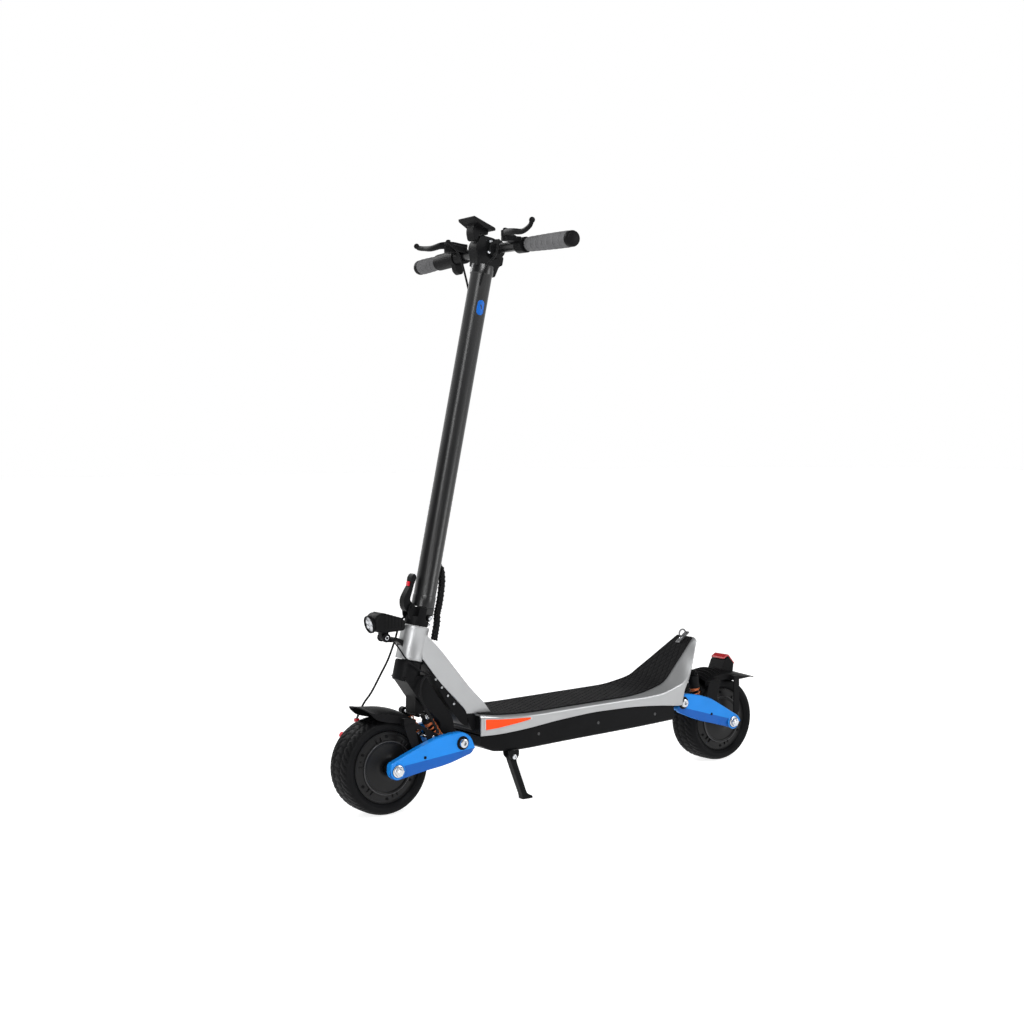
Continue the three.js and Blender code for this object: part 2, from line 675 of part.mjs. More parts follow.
// Lower half of the folding joint, with its hinge pin and the two lugs of the latch lever.
function foldBase() {
  const { radius, bottom, top, shoulder } = FOLD_BASE;
  const body = cylinderZ(radius, bottom, top, 0, 0, 24);
  const round = cylinderY(19.3, -40, 40, FOLD_PIN.x, FOLD_PIN.z, 24);
  const keep = join(box(FOLD_PIN.x, 40, -40, 40, 390, 450), round);
  const ears = [-1, 1].map((side) => {
    const [y0, y1] = side > 0 ? [11, 40] : [-40, -11];
    return join(
      box(-60, -5.2, y0, y1, FOLD_PIN.z, 460),
      box(-60, FOLD_PIN.x + 1, y0, y1, FOLD_PIN.z - 10.8, FOLD_PIN.z + 1),
      cylinderY(10.8, y0, y1, FOLD_PIN.x, FOLD_PIN.z),
    );
  });
  const trimmed = cut(common(body, keep), ...ears, box(12, 60, -40, 40, shoulder, 450));
  const lugOutline = [
    [10, 412], [10, 439], [18, 440], [19, 446, 2], [27, 447, 6], [35, 438, 6], [30, 420, 3], [25, 412],
  ];
  const lug = (y0, y1) => slabY(lugOutline, y0, y1);
  const pinHead = (y0, y1) => cylinderY(7, y0, y1, FOLD_PIN.x, FOLD_PIN.z);
  return join(
    trimmed,
    lug(9.4, 13.5),
    lug(-13.5, -9.4),
    cylinderY(FOLD_PIN.radius, -23, 23, FOLD_PIN.x, FOLD_PIN.z, 12),
    pinHead(20.4, 24),
    pinHead(-24, -20.4),
    cylinderY(LATCH_PIVOT.radius, -15.5, 15.5, LATCH_PIVOT.x, LATCH_PIVOT.z, 12),
  );
}

function latchLever() {
  const blade = [
    [31, 426, 3], [41, 432, 5], [48, 450, 10], [41, 472, 6], [36, 485, 2], [39, 500, 6], [33, 511, 5],
    [25, 503, 5], [29, 487, 2], [30, 470, 4], [32, 452, 6], [22, 446, 2], [18, 436, 4],
  ];
  return cut(
    join(slabY(blade, -9, 9)),
    cylinderY(LATCH_PIVOT.radius + 0.4, -10, 10, LATCH_PIVOT.x, LATCH_PIVOT.z, 12),
    box(33.6, 60, -3.8, 3.8, 480.6, 491.4),
  );
}

function latchButton() {
  return slabY([[35, 481], [40.5, 481, 2], [41.5, 491, 2], [35, 491]], -3.5, 3.5);
}

// ---- Stem and handlebar ----

function inStem(...children) {
  const frame = group(...children);
  frame.position.set(STEM.x, 0, STEM.z);
  frame.rotation.y = -STEM.rake;
  return frame;
}

function toStem(shape) {
  return solid(shape).translate([-STEM.x, 0, -STEM.z]).rotate([0, STEM.rake / DEGREE, 0]);
}

// Stem tube with the hinge ears at its foot, and at its head the handlebar clamp and the hook
// that meets the catch ring when the stem is folded.
function stemTube() {
  const ears = join(
    inFloor(cylinderY(10, -20, 20, FOLD_PIN.x, FOLD_PIN.z)),
    inFloor(box(-26, -6, -20, 20, FOLD_PIN.z, 446)),
  );
  const betweenEars = inFloor(box(-60, 40, -11.3, 11.3, 395, 441.9));
  const flange = inFloor(cylinderZ(24.6, 442, 450, -8, 0, 28));
  const pinBore = inFloor(cylinderY(FOLD_PIN.radius + 0.3, -30, 30, FOLD_PIN.x, FOLD_PIN.z));
  const outside = cylinderZ(STEM.radius, STEM.foot, STEM.top + 2, 0, 0, 28);
  const hollow = cylinderZ(STEM.radius - STEM.wall, 4, STEM.top - 10, 0, 0, 24);
  const clamp = slabY([
    [-24, STEM.top], [-36, 757, 4], [-33, 800, 6], [-8, 808, 8], [27, 806, 8], [38, 776, 8], [26, STEM.top],
  ], -28, 28);
  const hookOutline = [[-20, 722], [-31, 727, 3], [-37, 752], [-46, 757, 3], [-46, 774, 3], [-30, 786]];
  const hook = slabY(hookOutline, -8, 8);
  const cableHoles = [...HANDLEBAR_CABLES.map((path) => tube(path, 3.4, 24)), tube(UPPER_BUNDLE, 6.4, 12)];
  return cut(
    join(cut(ears, betweenEars), flange, cut(outside, hollow), clamp, hook),
    pinBore,
    toStem(cylinderY(BAR.radius + GAP, -40, 40, BAR.x, BAR.z, 24)),
    ...cableHoles.map(toStem),
  );
}

// Steering-frame shape as seen from the stem's frame.
function inFloor(shape) {
  return toStem(toFloor(shape));
}

function toFloor(shape) {
  return solid(shape).rotate([0, -STEERING.rake / DEGREE, 0]).translate([STEERING.floorX, 0, 0]);
}

function handlebar() {
  const middle = cylinderY(BAR.radius, -BAR.centreHalf - 2, BAR.centreHalf + 2, BAR.x, BAR.z, 24);
  const arms = [1, -1].map((side) => barArm(side, cylinderY(BAR.radius, 0, 249, 0, 0, 24)));
  return join(middle, ...arms);
}

// Shape from the frame of one half of the bar, whose Y runs outwards along it, to the floor frame.
function barArm(side, shape) {
  const arm = solid(shape).rotate([-BAR.droop / DEGREE, 0, 0]).translate([BAR.x, BAR.centreHalf, BAR.z]);
  return side > 0 ? arm : arm.mirror([0, 1, 0]);
}

function grip(side) {
  const from = (side > 0 ? GRIP.leftStart : GRIP.rightStart) - BAR.centreHalf;
  const to = BAR.half - BAR.centreHalf;
  const bore = BAR.radius + 0.4;
  const profile = [
    [bore, from], [GRIP.radius, from], [GRIP.radius, to - 8], [GRIP.radius - 2, to - 2],
    [GRIP.radius - 6, to], [0, to], [0, to - 1.6], [bore, to - 1.6], [bore, from],
  ];
  return barArm(side, latheY(profile, 24));
}

// Clamp ring, arm and pivot pin of a brake lever. y is where it sits along the bar's half.
function perch(y) {
  const bore = cylinderY(BAR.radius + 0.4, y - 1, y + 27, 0, 0, 20);
  const ring = cut(cylinderY(17, y, y + 26, 0, 0, 20), bore);
  const armOutline = [
    [14, y], [14, y + 26], [34, y + 22, 4], [49, y + 14, 6], [49, y - 2, 6], [30, y - 4, 4],
  ];
  const arm = slabZ(armOutline, 6, 16);
  const pin = cylinderZ(2.5, 10, 34, 41, y + 5, 12);
  const cap = cylinderZ(5, 29.2, 33, 41, y + 5, 12);
  return join(ring, arm, pin, cap);
}

const LEFT_PERCH = 58;
const RIGHT_PERCH = 52;

function brakeLever(y, tip) {
  const pivotY = y + 5;
  const head = cylinderZ(9, 16.4, 28.8, 41, pivotY, 16);
  const path = [
    [44, pivotY + 6, 22], [52, pivotY + 22, 23], [54, pivotY + 50, 21], [53, pivotY + 80, tip[0]],
    [53, pivotY + 105, tip[1]], [54, pivotY + 116, tip[2]],
  ];
  const shank = tube(path, 4.6, 14, 8);
  return cut(join(head, shank), cylinderZ(2.9, 0, 40, 41, pivotY, 12));
}

// Housing of the thumb throttle, with the right brake lever's perch.
function throttleHousing() {
  const end = GRIP.rightStart - BAR.centreHalf - GAP;
  const sleeve = join(cylinderY(15, 70, 97, 0, 0, 20), cylinderY(18.5, 95.5, end, 0, 0, 20));
  const bored = cut(sleeve, cylinderY(BAR.radius + 0.4, 60, 170, 0, 0, 20));
  return barArm(-1, join(perch(RIGHT_PERCH), bored));
}

function thumbThrottle() {
  const paddle = slabY([[-12, -14], [10, -14], [8, -30, 5], [-2, -38, 4], [-11, -36, 4]], 79, 95);
  const ring = cylinderY(18.5, 82, 95, 0, 0, 20);
  return barArm(-1, cut(join(paddle, ring), cylinderY(15.4, 70, 100, 0, 0, 20)));
}

// Display on its neck, tilted towards the rider.
function display() {
  const plate = [[256, 1270, 2], [198, 1247, 2], [199, 1240, 2], [226, 1244, 4], [256, 1262, 2]];
  const neck = [[243, 1258], [247, 1238, 6], [240, 1223], [212, 1229], [206, 1243]];
  const body = join(slabY(plate, -31, 31), slabY(neck, -15, 15));
  const aroundClamp = slabY([
    [150, 1150], [150, 1206], [168, 1215.2], [190.7, 1228.4],
    [225.8, 1234.2], [236, 1218], [244, 1206], [244, 1150],
  ], -40, 40);
  return cut(body, aroundClamp, displayButton(3.4, 1.6));
}

function displayButton(radius, extra = 0) {
  const button = cylinderZ(radius, -3 - extra, 3.2 + extra, 0, 0, 14);
  return solid(button).rotate([0, -22, 0]).translate([208, 20, 1250.2]);
}

// ---- Lights and stand ----

function headlightBracket() {
  const { pivotX, pivotZ } = HEADLIGHT;
  const arm = [
    [421, 341], [426, 362], [446, 371, 6], [464, 368, 3],
    [464, 361, 3], [447, 364, 5], [432, 354, 4], [427, 340],
  ];
  const cheek = (y0, y1) => join(
    cylinderY(9.5, y0, y1, pivotX, pivotZ, 16),
    slabY([[455, 361], [455, 368], [470, 372], [470, 362]], y0, y1),
  );
  return cut(
    join(
      slabY(arm, -10, 10),
      box(455, 460, -12, 12, 361, 368),
      cheek(8.4, 12),
      cheek(-12, -8.4),
      cylinderY(3, -14, 14, pivotX, pivotZ),
    ),
    toFloor(cylinderZ(HEAD_TUBE.radius + GAP, 300, 420, 0, 0, 28)),
  );
}

function headlight() {
  const { half, pivotX, pivotZ } = HEADLIGHT;
  const side = [
    [430, 384, 4], [427, 404, 6], [436, 412, 4], [480, 426, 8],
    [497, 424, 5], [508, 413, 3], [503, 386, 5], [484, 381, 6],
  ];
  const lug = slabY([[464, 384], [462, 368, 5], [471, 363, 6], [479, 369, 5], [480, 384]], -8, 8);
  return cut(join(slabY(side, -half, half), lug), cylinderY(3.4, -20, 20, pivotX, pivotZ, 12));
}

function kickstand() {
  const { x, y, z, footX, half, pin } = KICKSTAND;
  const leg = slabY([
    [x - 8, z + 5, 4], [x + 6, z + 7, 5], [x + 8, z - 6, 4],
    [footX + 14, 10, 8], [footX + 12, 0], [footX - 14, 0],
    [footX - 14, 5, 3], [footX + 1, 12, 6], [x - 9, z - 12, 8],
  ], y - half, y + half);
  return cut(leg, cylinderY(pin + 0.4, 0, 200, x, z, 14));
}

// ---- Cables ----

function stemCableLower() {
  return tube([[345, 0, 356], [342, 0, 372], [338, 0, 392], [337, 0, 412]], 5, 8);
}

function motorCable() {
  const points = [
    [377, 32, 287], [392, 34, 283], [403, 37, 267], [408, 44, 246], [405, 55, 225], [397, 64, 205],
    [388, 68, 186], [380, 70, 169.5],
  ];
  return tube(points, 4.5, 26);
}

function frontBrakeCable() {
  const points = [
    [396, -27, 415], [412, -31, 395], [424, -32, 359], [440, -33, 320], [456, -36, 290], [476, -44, 250],
    [492, -50, 226], [509, -50, 196],
  ];
  return tube(points, 2.2, 26);
}

// Brake and throttle cables into the stem, where they join the bundle that runs down inside it.
function handlebarCables() {
  const bundle = toFloorFromStem(cylinderZ(5, 110, 650, 0, 0, 8));
  return join(...HANDLEBAR_CABLES.map((path) => tube(path, 2.2, 24)), bundle);
}

function toFloorFromStem(shape) {
  return solid(shape).rotate([0, -STEM.rake / DEGREE, 0]).translate([STEM.x, 0, STEM.z]);
}

// ---- The scooter ----

const scooter = group(
  piece("deck_frame", deckFrame(), silverPaint),
  piece("neck_beam", neckBeam(), silverPaint),
  piece("battery_tray", batteryTray(), blackPaint),
  piece("battery_pack", box(-190, 110, -70, 70, 128, 178), batteryWrap),
  piece("motor_controller", box(130, 215, -48, 48, 124, 160), castAluminium),
  piece("deck_mat", deckMat(), matRubber),
  piece("reflector_left", reflector(1), orangeLens),
  piece("reflector_right", reflector(-1), orangeLens),
  piece("catch_ring", catchRing(), steel),
  piece("kickstand", kickstand(), blackPaint),
  piece("headlight_bracket", headlightBracket(), blackPaint),
  piece("headlight", headlight(), blackPlastic),
  inSteering(
    piece("headset_bearing_lower", bearing(HEAD_TUBE.bottom + 1, HEAD_TUBE.bottom + 9), steel),
    piece("headset_bearing_upper", bearing(HEAD_TUBE.top - 9, HEAD_TUBE.top - 1), steel),
    piece("fork", fork(), blackPaint),
    piece("fold_base", foldBase(), blackPaint),
    piece("latch_lever", latchLever(), blackPaint),
    piece("latch_button", latchButton(), redPlastic),
  ),
  piece("front_swingarm", swingarm(FRONT_ARM_OUTLINE, FRONT_PIVOT, FRONT_AXLE_X, [332, 116]), bluePaint),
  piece("front_pivot_bolt", pivotBolt(FRONT_PIVOT), steel),
  piece("front_caliper", caliper(FRONT_AXLE_X, 62), blackPaint),
  piece("front_fender", frontFender(), blackPlastic),
  wheel("front", FRONT_AXLE_X),
  shocks("front", FRONT_SHOCK, true),
  piece("rear_swingarm", swingarm(REAR_ARM_OUTLINE, REAR_PIVOT, REAR_AXLE_X, [-330, 142]), bluePaint),
  piece("rear_pivot_bolt", pivotBolt(REAR_PIVOT), steel),
  piece("rear_caliper", caliper(REAR_AXLE_X, 90), blackPaint),
  piece("rear_fender", rearFender(), blackPlastic),
  piece("tail_light_lens", tailLightLens(), redLens),
  wheel("rear", REAR_AXLE_X),
  shocks("rear", REAR_SHOCK, false),
  inStem(piece("stem_tube", stemTube(), blackPaint)),
  piece("handlebar", handlebar(), blackPaint),
  piece("grip_left", grip(1), gripFoam),
  piece("grip_right", grip(-1), gripFoam),
  piece("brake_perch_left", barArm(1, perch(LEFT_PERCH)), blackPaint),
  piece("brake_lever_left", barArm(1, brakeLever(LEFT_PERCH, [19, 28, 42])), blackPaint),
  piece("throttle_housing", throttleHousing(), blackPlastic),
  piece("brake_lever_right", barArm(-1, brakeLever(RIGHT_PERCH, [25, 30, 37])), blackPaint),
  piece("thumb_throttle", thumbThrottle(), blackPlastic),
  piece("display", display(), blackPlastic),
  piece("display_button", displayButton(3), blackPlastic),
  piece("stem_cable_lower", stemCableLower(), rubber),
  piece("stem_cable_upper", tube(UPPER_BUNDLE, 5, 14), rubber),
  piece("motor_cable", motorCable(), rubber),
  piece("front_brake_cable", frontBrakeCable(), rubber),
  piece("handlebar_cables", handlebarCables(), rubber),
);

export default scooter;
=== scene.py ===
import json
import math

import bmesh
import bpy
from mathutils import Matrix, Vector


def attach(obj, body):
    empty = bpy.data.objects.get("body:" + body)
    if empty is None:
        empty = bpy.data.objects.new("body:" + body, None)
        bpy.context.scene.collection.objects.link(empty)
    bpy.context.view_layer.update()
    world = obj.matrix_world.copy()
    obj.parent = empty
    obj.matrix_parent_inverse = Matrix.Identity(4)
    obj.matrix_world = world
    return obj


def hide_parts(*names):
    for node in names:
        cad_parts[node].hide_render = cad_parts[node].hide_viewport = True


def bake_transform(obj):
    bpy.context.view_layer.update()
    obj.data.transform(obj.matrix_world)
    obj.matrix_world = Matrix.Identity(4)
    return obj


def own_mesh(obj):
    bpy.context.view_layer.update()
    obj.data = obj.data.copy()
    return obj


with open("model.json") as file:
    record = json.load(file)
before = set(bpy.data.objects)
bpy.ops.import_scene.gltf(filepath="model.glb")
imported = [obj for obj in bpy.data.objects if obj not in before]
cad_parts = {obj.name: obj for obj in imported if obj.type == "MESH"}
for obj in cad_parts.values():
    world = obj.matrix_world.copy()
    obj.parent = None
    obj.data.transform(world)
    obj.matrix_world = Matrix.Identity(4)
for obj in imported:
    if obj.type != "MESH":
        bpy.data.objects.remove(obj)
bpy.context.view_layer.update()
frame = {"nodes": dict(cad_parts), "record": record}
JOINTS = {joint["name"]: joint for joint in frame["record"]["behaviour"]["joints"]}

MM = 0.001


def joint_mm(name):
    """Joint position in millimetres."""
    return Vector(JOINTS[name]["pos_m"]) * 1000


FRONT_AXLE = joint_mm("front_wheel")
REAR_AXLE = joint_mm("rear_wheel")
FRONT_PIVOT = joint_mm("front_suspension")
REAR_PIVOT = joint_mm("rear_suspension")
FRONT_SHOCK_TOP = joint_mm("front_shock_swing")
REAR_SHOCK_TOP = joint_mm("rear_shock_swing")
FOLD_PIN = joint_mm("stem_fold")
BAR = joint_mm("thumb_throttle")
STAND_PIVOT = joint_mm("kickstand")
LAMP_PIVOT = joint_mm("headlight_tilt")
STEER_AXIS = Vector(JOINTS["steering"]["axis"])
STEER_FOOT = joint_mm("steering")
STEER_ACROSS = Vector((STEER_AXIS.z, 0, -STEER_AXIS.x))
SIDE = Vector((0, 1, 0))


# ---- Materials ----


def material(name, color, rough, metal=0.0, grain=400.0, bump=0.05, variation=0.12, **sockets):
    """Painted, plastic or metal surface with a fine grain and a faint unevenness of colour."""
    made = bpy.data.materials.new(name)
    made.use_nodes = True
    nodes, links = made.node_tree.nodes, made.node_tree.links
    shader = nodes["Principled BSDF"]
    shader.inputs["Roughness"].default_value = rough
    shader.inputs["Metallic"].default_value = metal
    for socket, value in sockets.items():
        shader.inputs[socket.replace("_", " ")].default_value = value
    where = nodes.new("ShaderNodeTexCoord")
    cloud = nodes.new("ShaderNodeTexNoise")
    cloud.inputs["Scale"].default_value = 18
    cloud.inputs["Detail"].default_value = 4
    ramp = nodes.new("ShaderNodeValToRGB")
    dark = [channel * (1 - variation) for channel in color]
    light = [min(1, channel * (1 + variation)) for channel in color]
    ramp.color_ramp.elements[0].color = (*dark, 1)
    ramp.color_ramp.elements[0].position = 0.3
    ramp.color_ramp.elements[1].color = (*light, 1)
    ramp.color_ramp.elements[1].position = 0.7
    links.new(where.outputs["Object"], cloud.inputs["Vector"])
    links.new(cloud.outputs["Fac"], ramp.inputs["Fac"])
    links.new(ramp.outputs["Color"], shader.inputs["Base Color"])
    fine = nodes.new("ShaderNodeTexNoise")
    fine.inputs["Scale"].default_value = grain
    fine.inputs["Detail"].default_value = 2
    relief = nodes.new("ShaderNodeBump")
    relief.inputs["Strength"].default_value = bump
    relief.inputs["Distance"].default_value = 0.0006
    links.new(where.outputs["Object"], fine.inputs["Vector"])
    links.new(fine.outputs["Fac"], relief.inputs["Height"])
    links.new(relief.outputs["Normal"], shader.inputs["Normal"])
    return made


DULL = {"Specular_IOR_Level": 0.06}
PAINT = {"Specular_IOR_Level": 0.2}
SATIN = {"Specular_IOR_Level": 0.45}
SMOOTH = {"grain": 1200, "bump": 0.03}
FINE = {"grain": 1200, "bump": 0.05}


def reflector_material(name, color):
    """Orange reflector with small prisms behind a glossy face."""
    made = material(name, color, 0.4, variation=0.08, Coat_Weight=0.1, Coat_Roughness=0.2, **PAINT)
    nodes, links = made.node_tree.nodes, made.node_tree.links
    cells = nodes.new("ShaderNodeTexVoronoi")
    cells.inputs["Scale"].default_value = 300
    cells.inputs["Randomness"].default_value = 0.0
    links.new(nodes["Texture Coordinate"].outputs["Object"], cells.inputs["Vector"])
    links.new(cells.outputs["Distance"], nodes["Bump"].inputs["Height"])
    nodes["Bump"].inputs["Strength"].default_value = 0.35
    return made


SILVER = material("silver_paint", (0.35, 0.355, 0.36), 0.36, 0.7, variation=0.03, **SMOOTH)
BLACK = material("black_paint", (0.0045, 0.0046, 0.005), 0.4, grain=900, bump=0.08, variation=0.2, **DULL)
STEM_BLACK = material("stem_black", (0.004, 0.0041, 0.0045), 0.3, variation=0.15, **SMOOTH, **SATIN)
HUB_BLACK = material("hub_black", (0.004, 0.004, 0.0042), 0.34, variation=0.15, **FINE, **PAINT)
# Dark grey metal: the tray screws' own colour, and on the hubs' middle band a painted highlight, lighter than
# the hub.
DARK_METAL_AND_PAINTED_HIGHLIGHT = material("dark_metal_and_painted_highlight", (0.05, 0.05, 0.052), 0.35, 0.6, variation=0.15, **FINE)
PLASTIC = material("black_plastic", (0.005, 0.005, 0.0054), 0.46, grain=1600, bump=0.25,
                   variation=0.2, **DULL)
BLUE = material("blue_paint", (0.006, 0.175, 0.56), 0.34, variation=0.05, **SMOOTH, **PAINT)
# Darker blue: the badge's own colour, and on the arms painted shade on the faces that lean downwards.
BADGE_BLUE_AND_PAINTED_SHADE = material("badge_blue_and_painted_shade", (0.001, 0.075, 0.33), 0.38, variation=0.05, **SMOOTH, **PAINT)
TYRE = material("tyre_rubber", (0.0045, 0.0046, 0.005), 0.5, grain=1200, bump=0.25, variation=0.2, **DULL)
RUBBER = material("cable_rubber", (0.007, 0.007, 0.0075), 0.5, grain=1500, bump=0.1, variation=0.15, **DULL)
MAT = material("mat_rubber", (0.0065, 0.0065, 0.007), 0.6, grain=900, bump=0.2, variation=0.1, **DULL)
GRIP = material("grip_foam", (0.105, 0.105, 0.108), 0.8, grain=1500, bump=0.5, variation=0.15, **DULL)
STEEL = material("steel", (0.55, 0.56, 0.58), 0.24, 1.0, grain=1800, bump=0.04, variation=0.08)
WIRE = material("ring_wire", (0.13, 0.13, 0.135), 0.35, 0.8, grain=1500, bump=0.05, variation=0.1)
BRUSHED = material("brushed_steel", (0.42, 0.43, 0.44), 0.38, 1.0, grain=900, bump=0.12, variation=0.1)
COPPER = material("copper_spring", (0.40, 0.10, 0.03), 0.34, 0.4, variation=0.12, **FINE)
ORANGE = reflector_material("orange_lens", (0.72, 0.05, 0.0005))
BORDER = material("reflector_border", (0.42, 0.42, 0.43), 0.4, 0.1, variation=0.05)
RED_LENS = material("red_lens", (0.38, 0.004, 0.008), 0.14, variation=0.1, Coat_Weight=0.5)
RED = material("red_plastic", (0.55, 0.006, 0.02), 0.32, variation=0.05)
GLASS = material("dark_glass", (0.006, 0.006, 0.008), 0.08, bump=0.0, variation=0.05, Coat_Weight=0.7)
LENS = material("lamp_lens", (0.32, 0.33, 0.35), 0.2, 0.2, grain=300, bump=0.4, variation=0.1,
                Coat_Weight=0.6)
BATTERY = material("battery_wrap", (0.02, 0.06, 0.2), 0.4)
CASTING = material("cast_aluminium", (0.35, 0.36, 0.37), 0.45, 0.9)


# ---- Mesh helpers ----


def add_piece(name, bm, finish, body, bevel=0.0, segments=2, sharp=42, weighted=True):
    """Finished mesh from millimetre geometry, on the named CAD body."""
    bmesh.ops.remove_doubles(bm, verts=bm.verts, dist=0.001)
    bmesh.ops.recalc_face_normals(bm, faces=bm.faces)
    if bevel:
        corners = [
            edge for edge in bm.edges
            if edge.is_manifold and edge.calc_face_angle(0) > math.radians(28)
        ]
        bmesh.ops.bevel(
            bm, geom=corners, offset=bevel, segments=segments, profile=0.5,
            affect="EDGES", clamp_overlap=True,
        )
    for face in bm.faces:
        face.smooth = True
    for edge in bm.edges:
        edge.smooth = not (edge.is_manifold and edge.calc_face_angle(0) > math.radians(sharp))
    bmesh.ops.scale(bm, vec=(MM, MM, MM), verts=bm.verts)
    mesh = bpy.data.meshes.new(name)
    bm.to_mesh(mesh)
    bm.free()
    mesh.materials.append(finish)
    made = bpy.data.objects.new(name, mesh)
    bpy.context.scene.collection.objects.link(made)
    if weighted and bevel:
        modifier = made.modifiers.new("normals", "WEIGHTED_NORMAL")
        modifier.keep_sharp = True
    if body:
        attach(made, body)
    return made


def polar(centre, across, other, radius, angle):
    """Point at a radius and an angle round a centre, in the plane of two directions."""
    return centre + across * (radius * math.cos(angle)) + other * (radius * math.sin(angle))


def wheel_point(radius, angle):
    """Offset from a wheel's centre, in the wheel's own plane."""
    return Vector((radius * math.cos(angle), 0, radius * math.sin(angle)))


def rod(radius, half):
    """Profile of a plain round bar for revolve."""
    return [(0, -half), (radius, -half), (radius, half), (0, half)]


def sleeve(inner, outer, low, high):
    """Profile of a plain round sleeve for revolve."""
    return [(inner, low), (outer, low), (outer, high), (inner, high), (inner, low)]


def ring_skin(bm, rings, closed_ends=True, loop=False):
    """Quads between rings of the same number of points."""
    made = [[bm.verts.new(point) for point in ring] for ring in rings]
    count = len(made[0])
    pairs = list(zip(made, made[1:]))
    if loop:
        pairs.append((made[-1], made[0]))
    for low, high in pairs:
        for i in range(count):
            j = (i + 1) % count
            bm.faces.new((low[i], low[j], high[j], high[i]))
    if closed_ends and not loop:
        bm.faces.new(list(reversed(made[0])))
        bm.faces.new(made[-1])
    return bm


def rounded(corners, steps=5):
    """Closed outline whose corners [x, y, radius] are rounded."""
    points = []
    count = len(corners)
    for i, corner in enumerate(corners):
        at = Vector(corner[:2])
        before = Vector(corners[i - 1][:2])
        after = Vector(corners[(i + 1) % count][:2])
        radius = corner[2] if len(corner) > 2 else 0
        radius = min(radius, 0.45 * min((at - before).length, (at - after).length))
        if radius < 0.01:
            points.append(at)
            continue
        enter = at + (before - at).normalized() * radius
        leave = at + (after - at).normalized() * radius
        for step in range(steps + 1):
            t = step / steps
            points.append(enter * (1 - t) ** 2 + at * 2 * t * (1 - t) + leave * t * t)
    return points


def prism(name, corners, y0, y1, finish, body, bevel=1.0, taper=None, **options):
    """Outline in the XZ plane carried from y0 to y1. taper(x) scales the width."""
    outline = rounded(corners, options.pop("steps", 5))
    bm = bmesh.new()
    rings = []
    for y in (y0, y1):
        rings.append([(p.x, y * (taper(p.x) if taper else 1), p.y) for p in outline])
    ring_skin(bm, rings)
    return add_piece(name, bm, finish, body, bevel, **options)


def revolve_into(bm, profile, origin, axis, sides=96, phase=0.0):
    """Adds the solid swept by a profile of (radius, height[, corners]) round an axis."""
    axis = Vector(axis).normalized()
    across = axis.orthogonal().normalized() if abs(axis.y) < 0.9 else Vector((1, 0, 0))
    across = (across - axis * across.dot(axis)).normalized()
    other = axis.cross(across)
    origin = Vector(origin)
    rings = []
    for entry in profile:
        radius, height = entry[0], entry[1]
        corners = entry[2] if len(entry) > 2 else 0
        centre = origin + axis * height
        if radius < 1e-6:
            rings.append([bm.verts.new(centre)])
            continue
        ring = []
        for i in range(sides):
            angle = 2 * math.pi * i / sides + phase
            r = radius
            if corners:
                half = math.pi / corners
                r = radius * math.cos(half) / math.cos((angle % (2 * half)) - half)
            ring.append(bm.verts.new(polar(centre, across, other, r, angle)))
        rings.append(ring)
    for low, high in zip(rings, rings[1:]):
        for i in range(sides):
            j = (i + 1) % sides
            corner = [low[i % len(low)], low[j % len(low)], high[j % len(high)], high[i % len(high)]]
            unique = list(dict.fromkeys(corner))
            if len(unique) > 2:
                bm.faces.new(unique)
    return bm


def revolve(name, profile, origin, axis, finish, body, sides=96, sharp=35, phase=0.0):
    """A turned piece: the profile spun round the axis."""
    bm = revolve_into(bmesh.new(), profile, origin, axis, sides, phase)
    return add_piece(name, bm, finish, body, sharp=sharp)


def spline(points, count):
    """Evenly parametrised Catmull-Rom curve through the points."""
    points = [Vector(p) for p in points]
    ends = [points[0] * 2 - points[1], *points, points[-1] * 2 - points[-2]]
    made = []
    spans = len(points) - 1
    for i in range(count + 1):
        u = min(i / count * spans, spans - 1e-9)
        k = int(u)
        t = u - k
        a, b, c, d = ends[k : k + 4]
        square = 2 * a - 5 * b + 4 * c - d
        cube = 3 * b - a - 3 * c + d
        made.append(0.5 * ((2 * b) + (c - a) * t + square * t * t + cube * t ** 3))
    return made


def sweep_into(bm, path, radius, sides=14, squash=1.0, up=None):
    """Adds a tube along a list of points. radius is a number or a function of 0 to 1."""
    tangent = (path[1] - path[0]).normalized()
    normal = Vector(up) if up else tangent.orthogonal()
    rings = []
    for i, point in enumerate(path):
        ahead = path[min(i + 1, len(path) - 1)]
        behind = path[max(i - 1, 0)]
        tangent = (ahead - behind).normalized()
        normal = (normal - tangent * normal.dot(tangent)).normalized()
        across = tangent.cross(normal)
        r = radius(i / (len(path) - 1)) if callable(radius) else radius
        ring = []
        for j in range(sides):
            angle = 2 * math.pi * j / sides
            ring.append(point + normal * (r * math.cos(angle)) + across * (r * squash * math.sin(angle)))
        rings.append(ring)
    return ring_skin(bm, rings)


def sweep(name, points, radius, finish, body, sides=14, count=60, squash=1.0, up=None, sharp=50):
    """A tube along a smooth line through the points."""
    bm = sweep_into(bmesh.new(), spline(points, count), radius, sides, squash, up)
    return add_piece(name, bm, finish, body, sharp=sharp)


def mix(a, b, t):
    """Value at the share t of the way from a to b."""
    return a + (b - a) * t


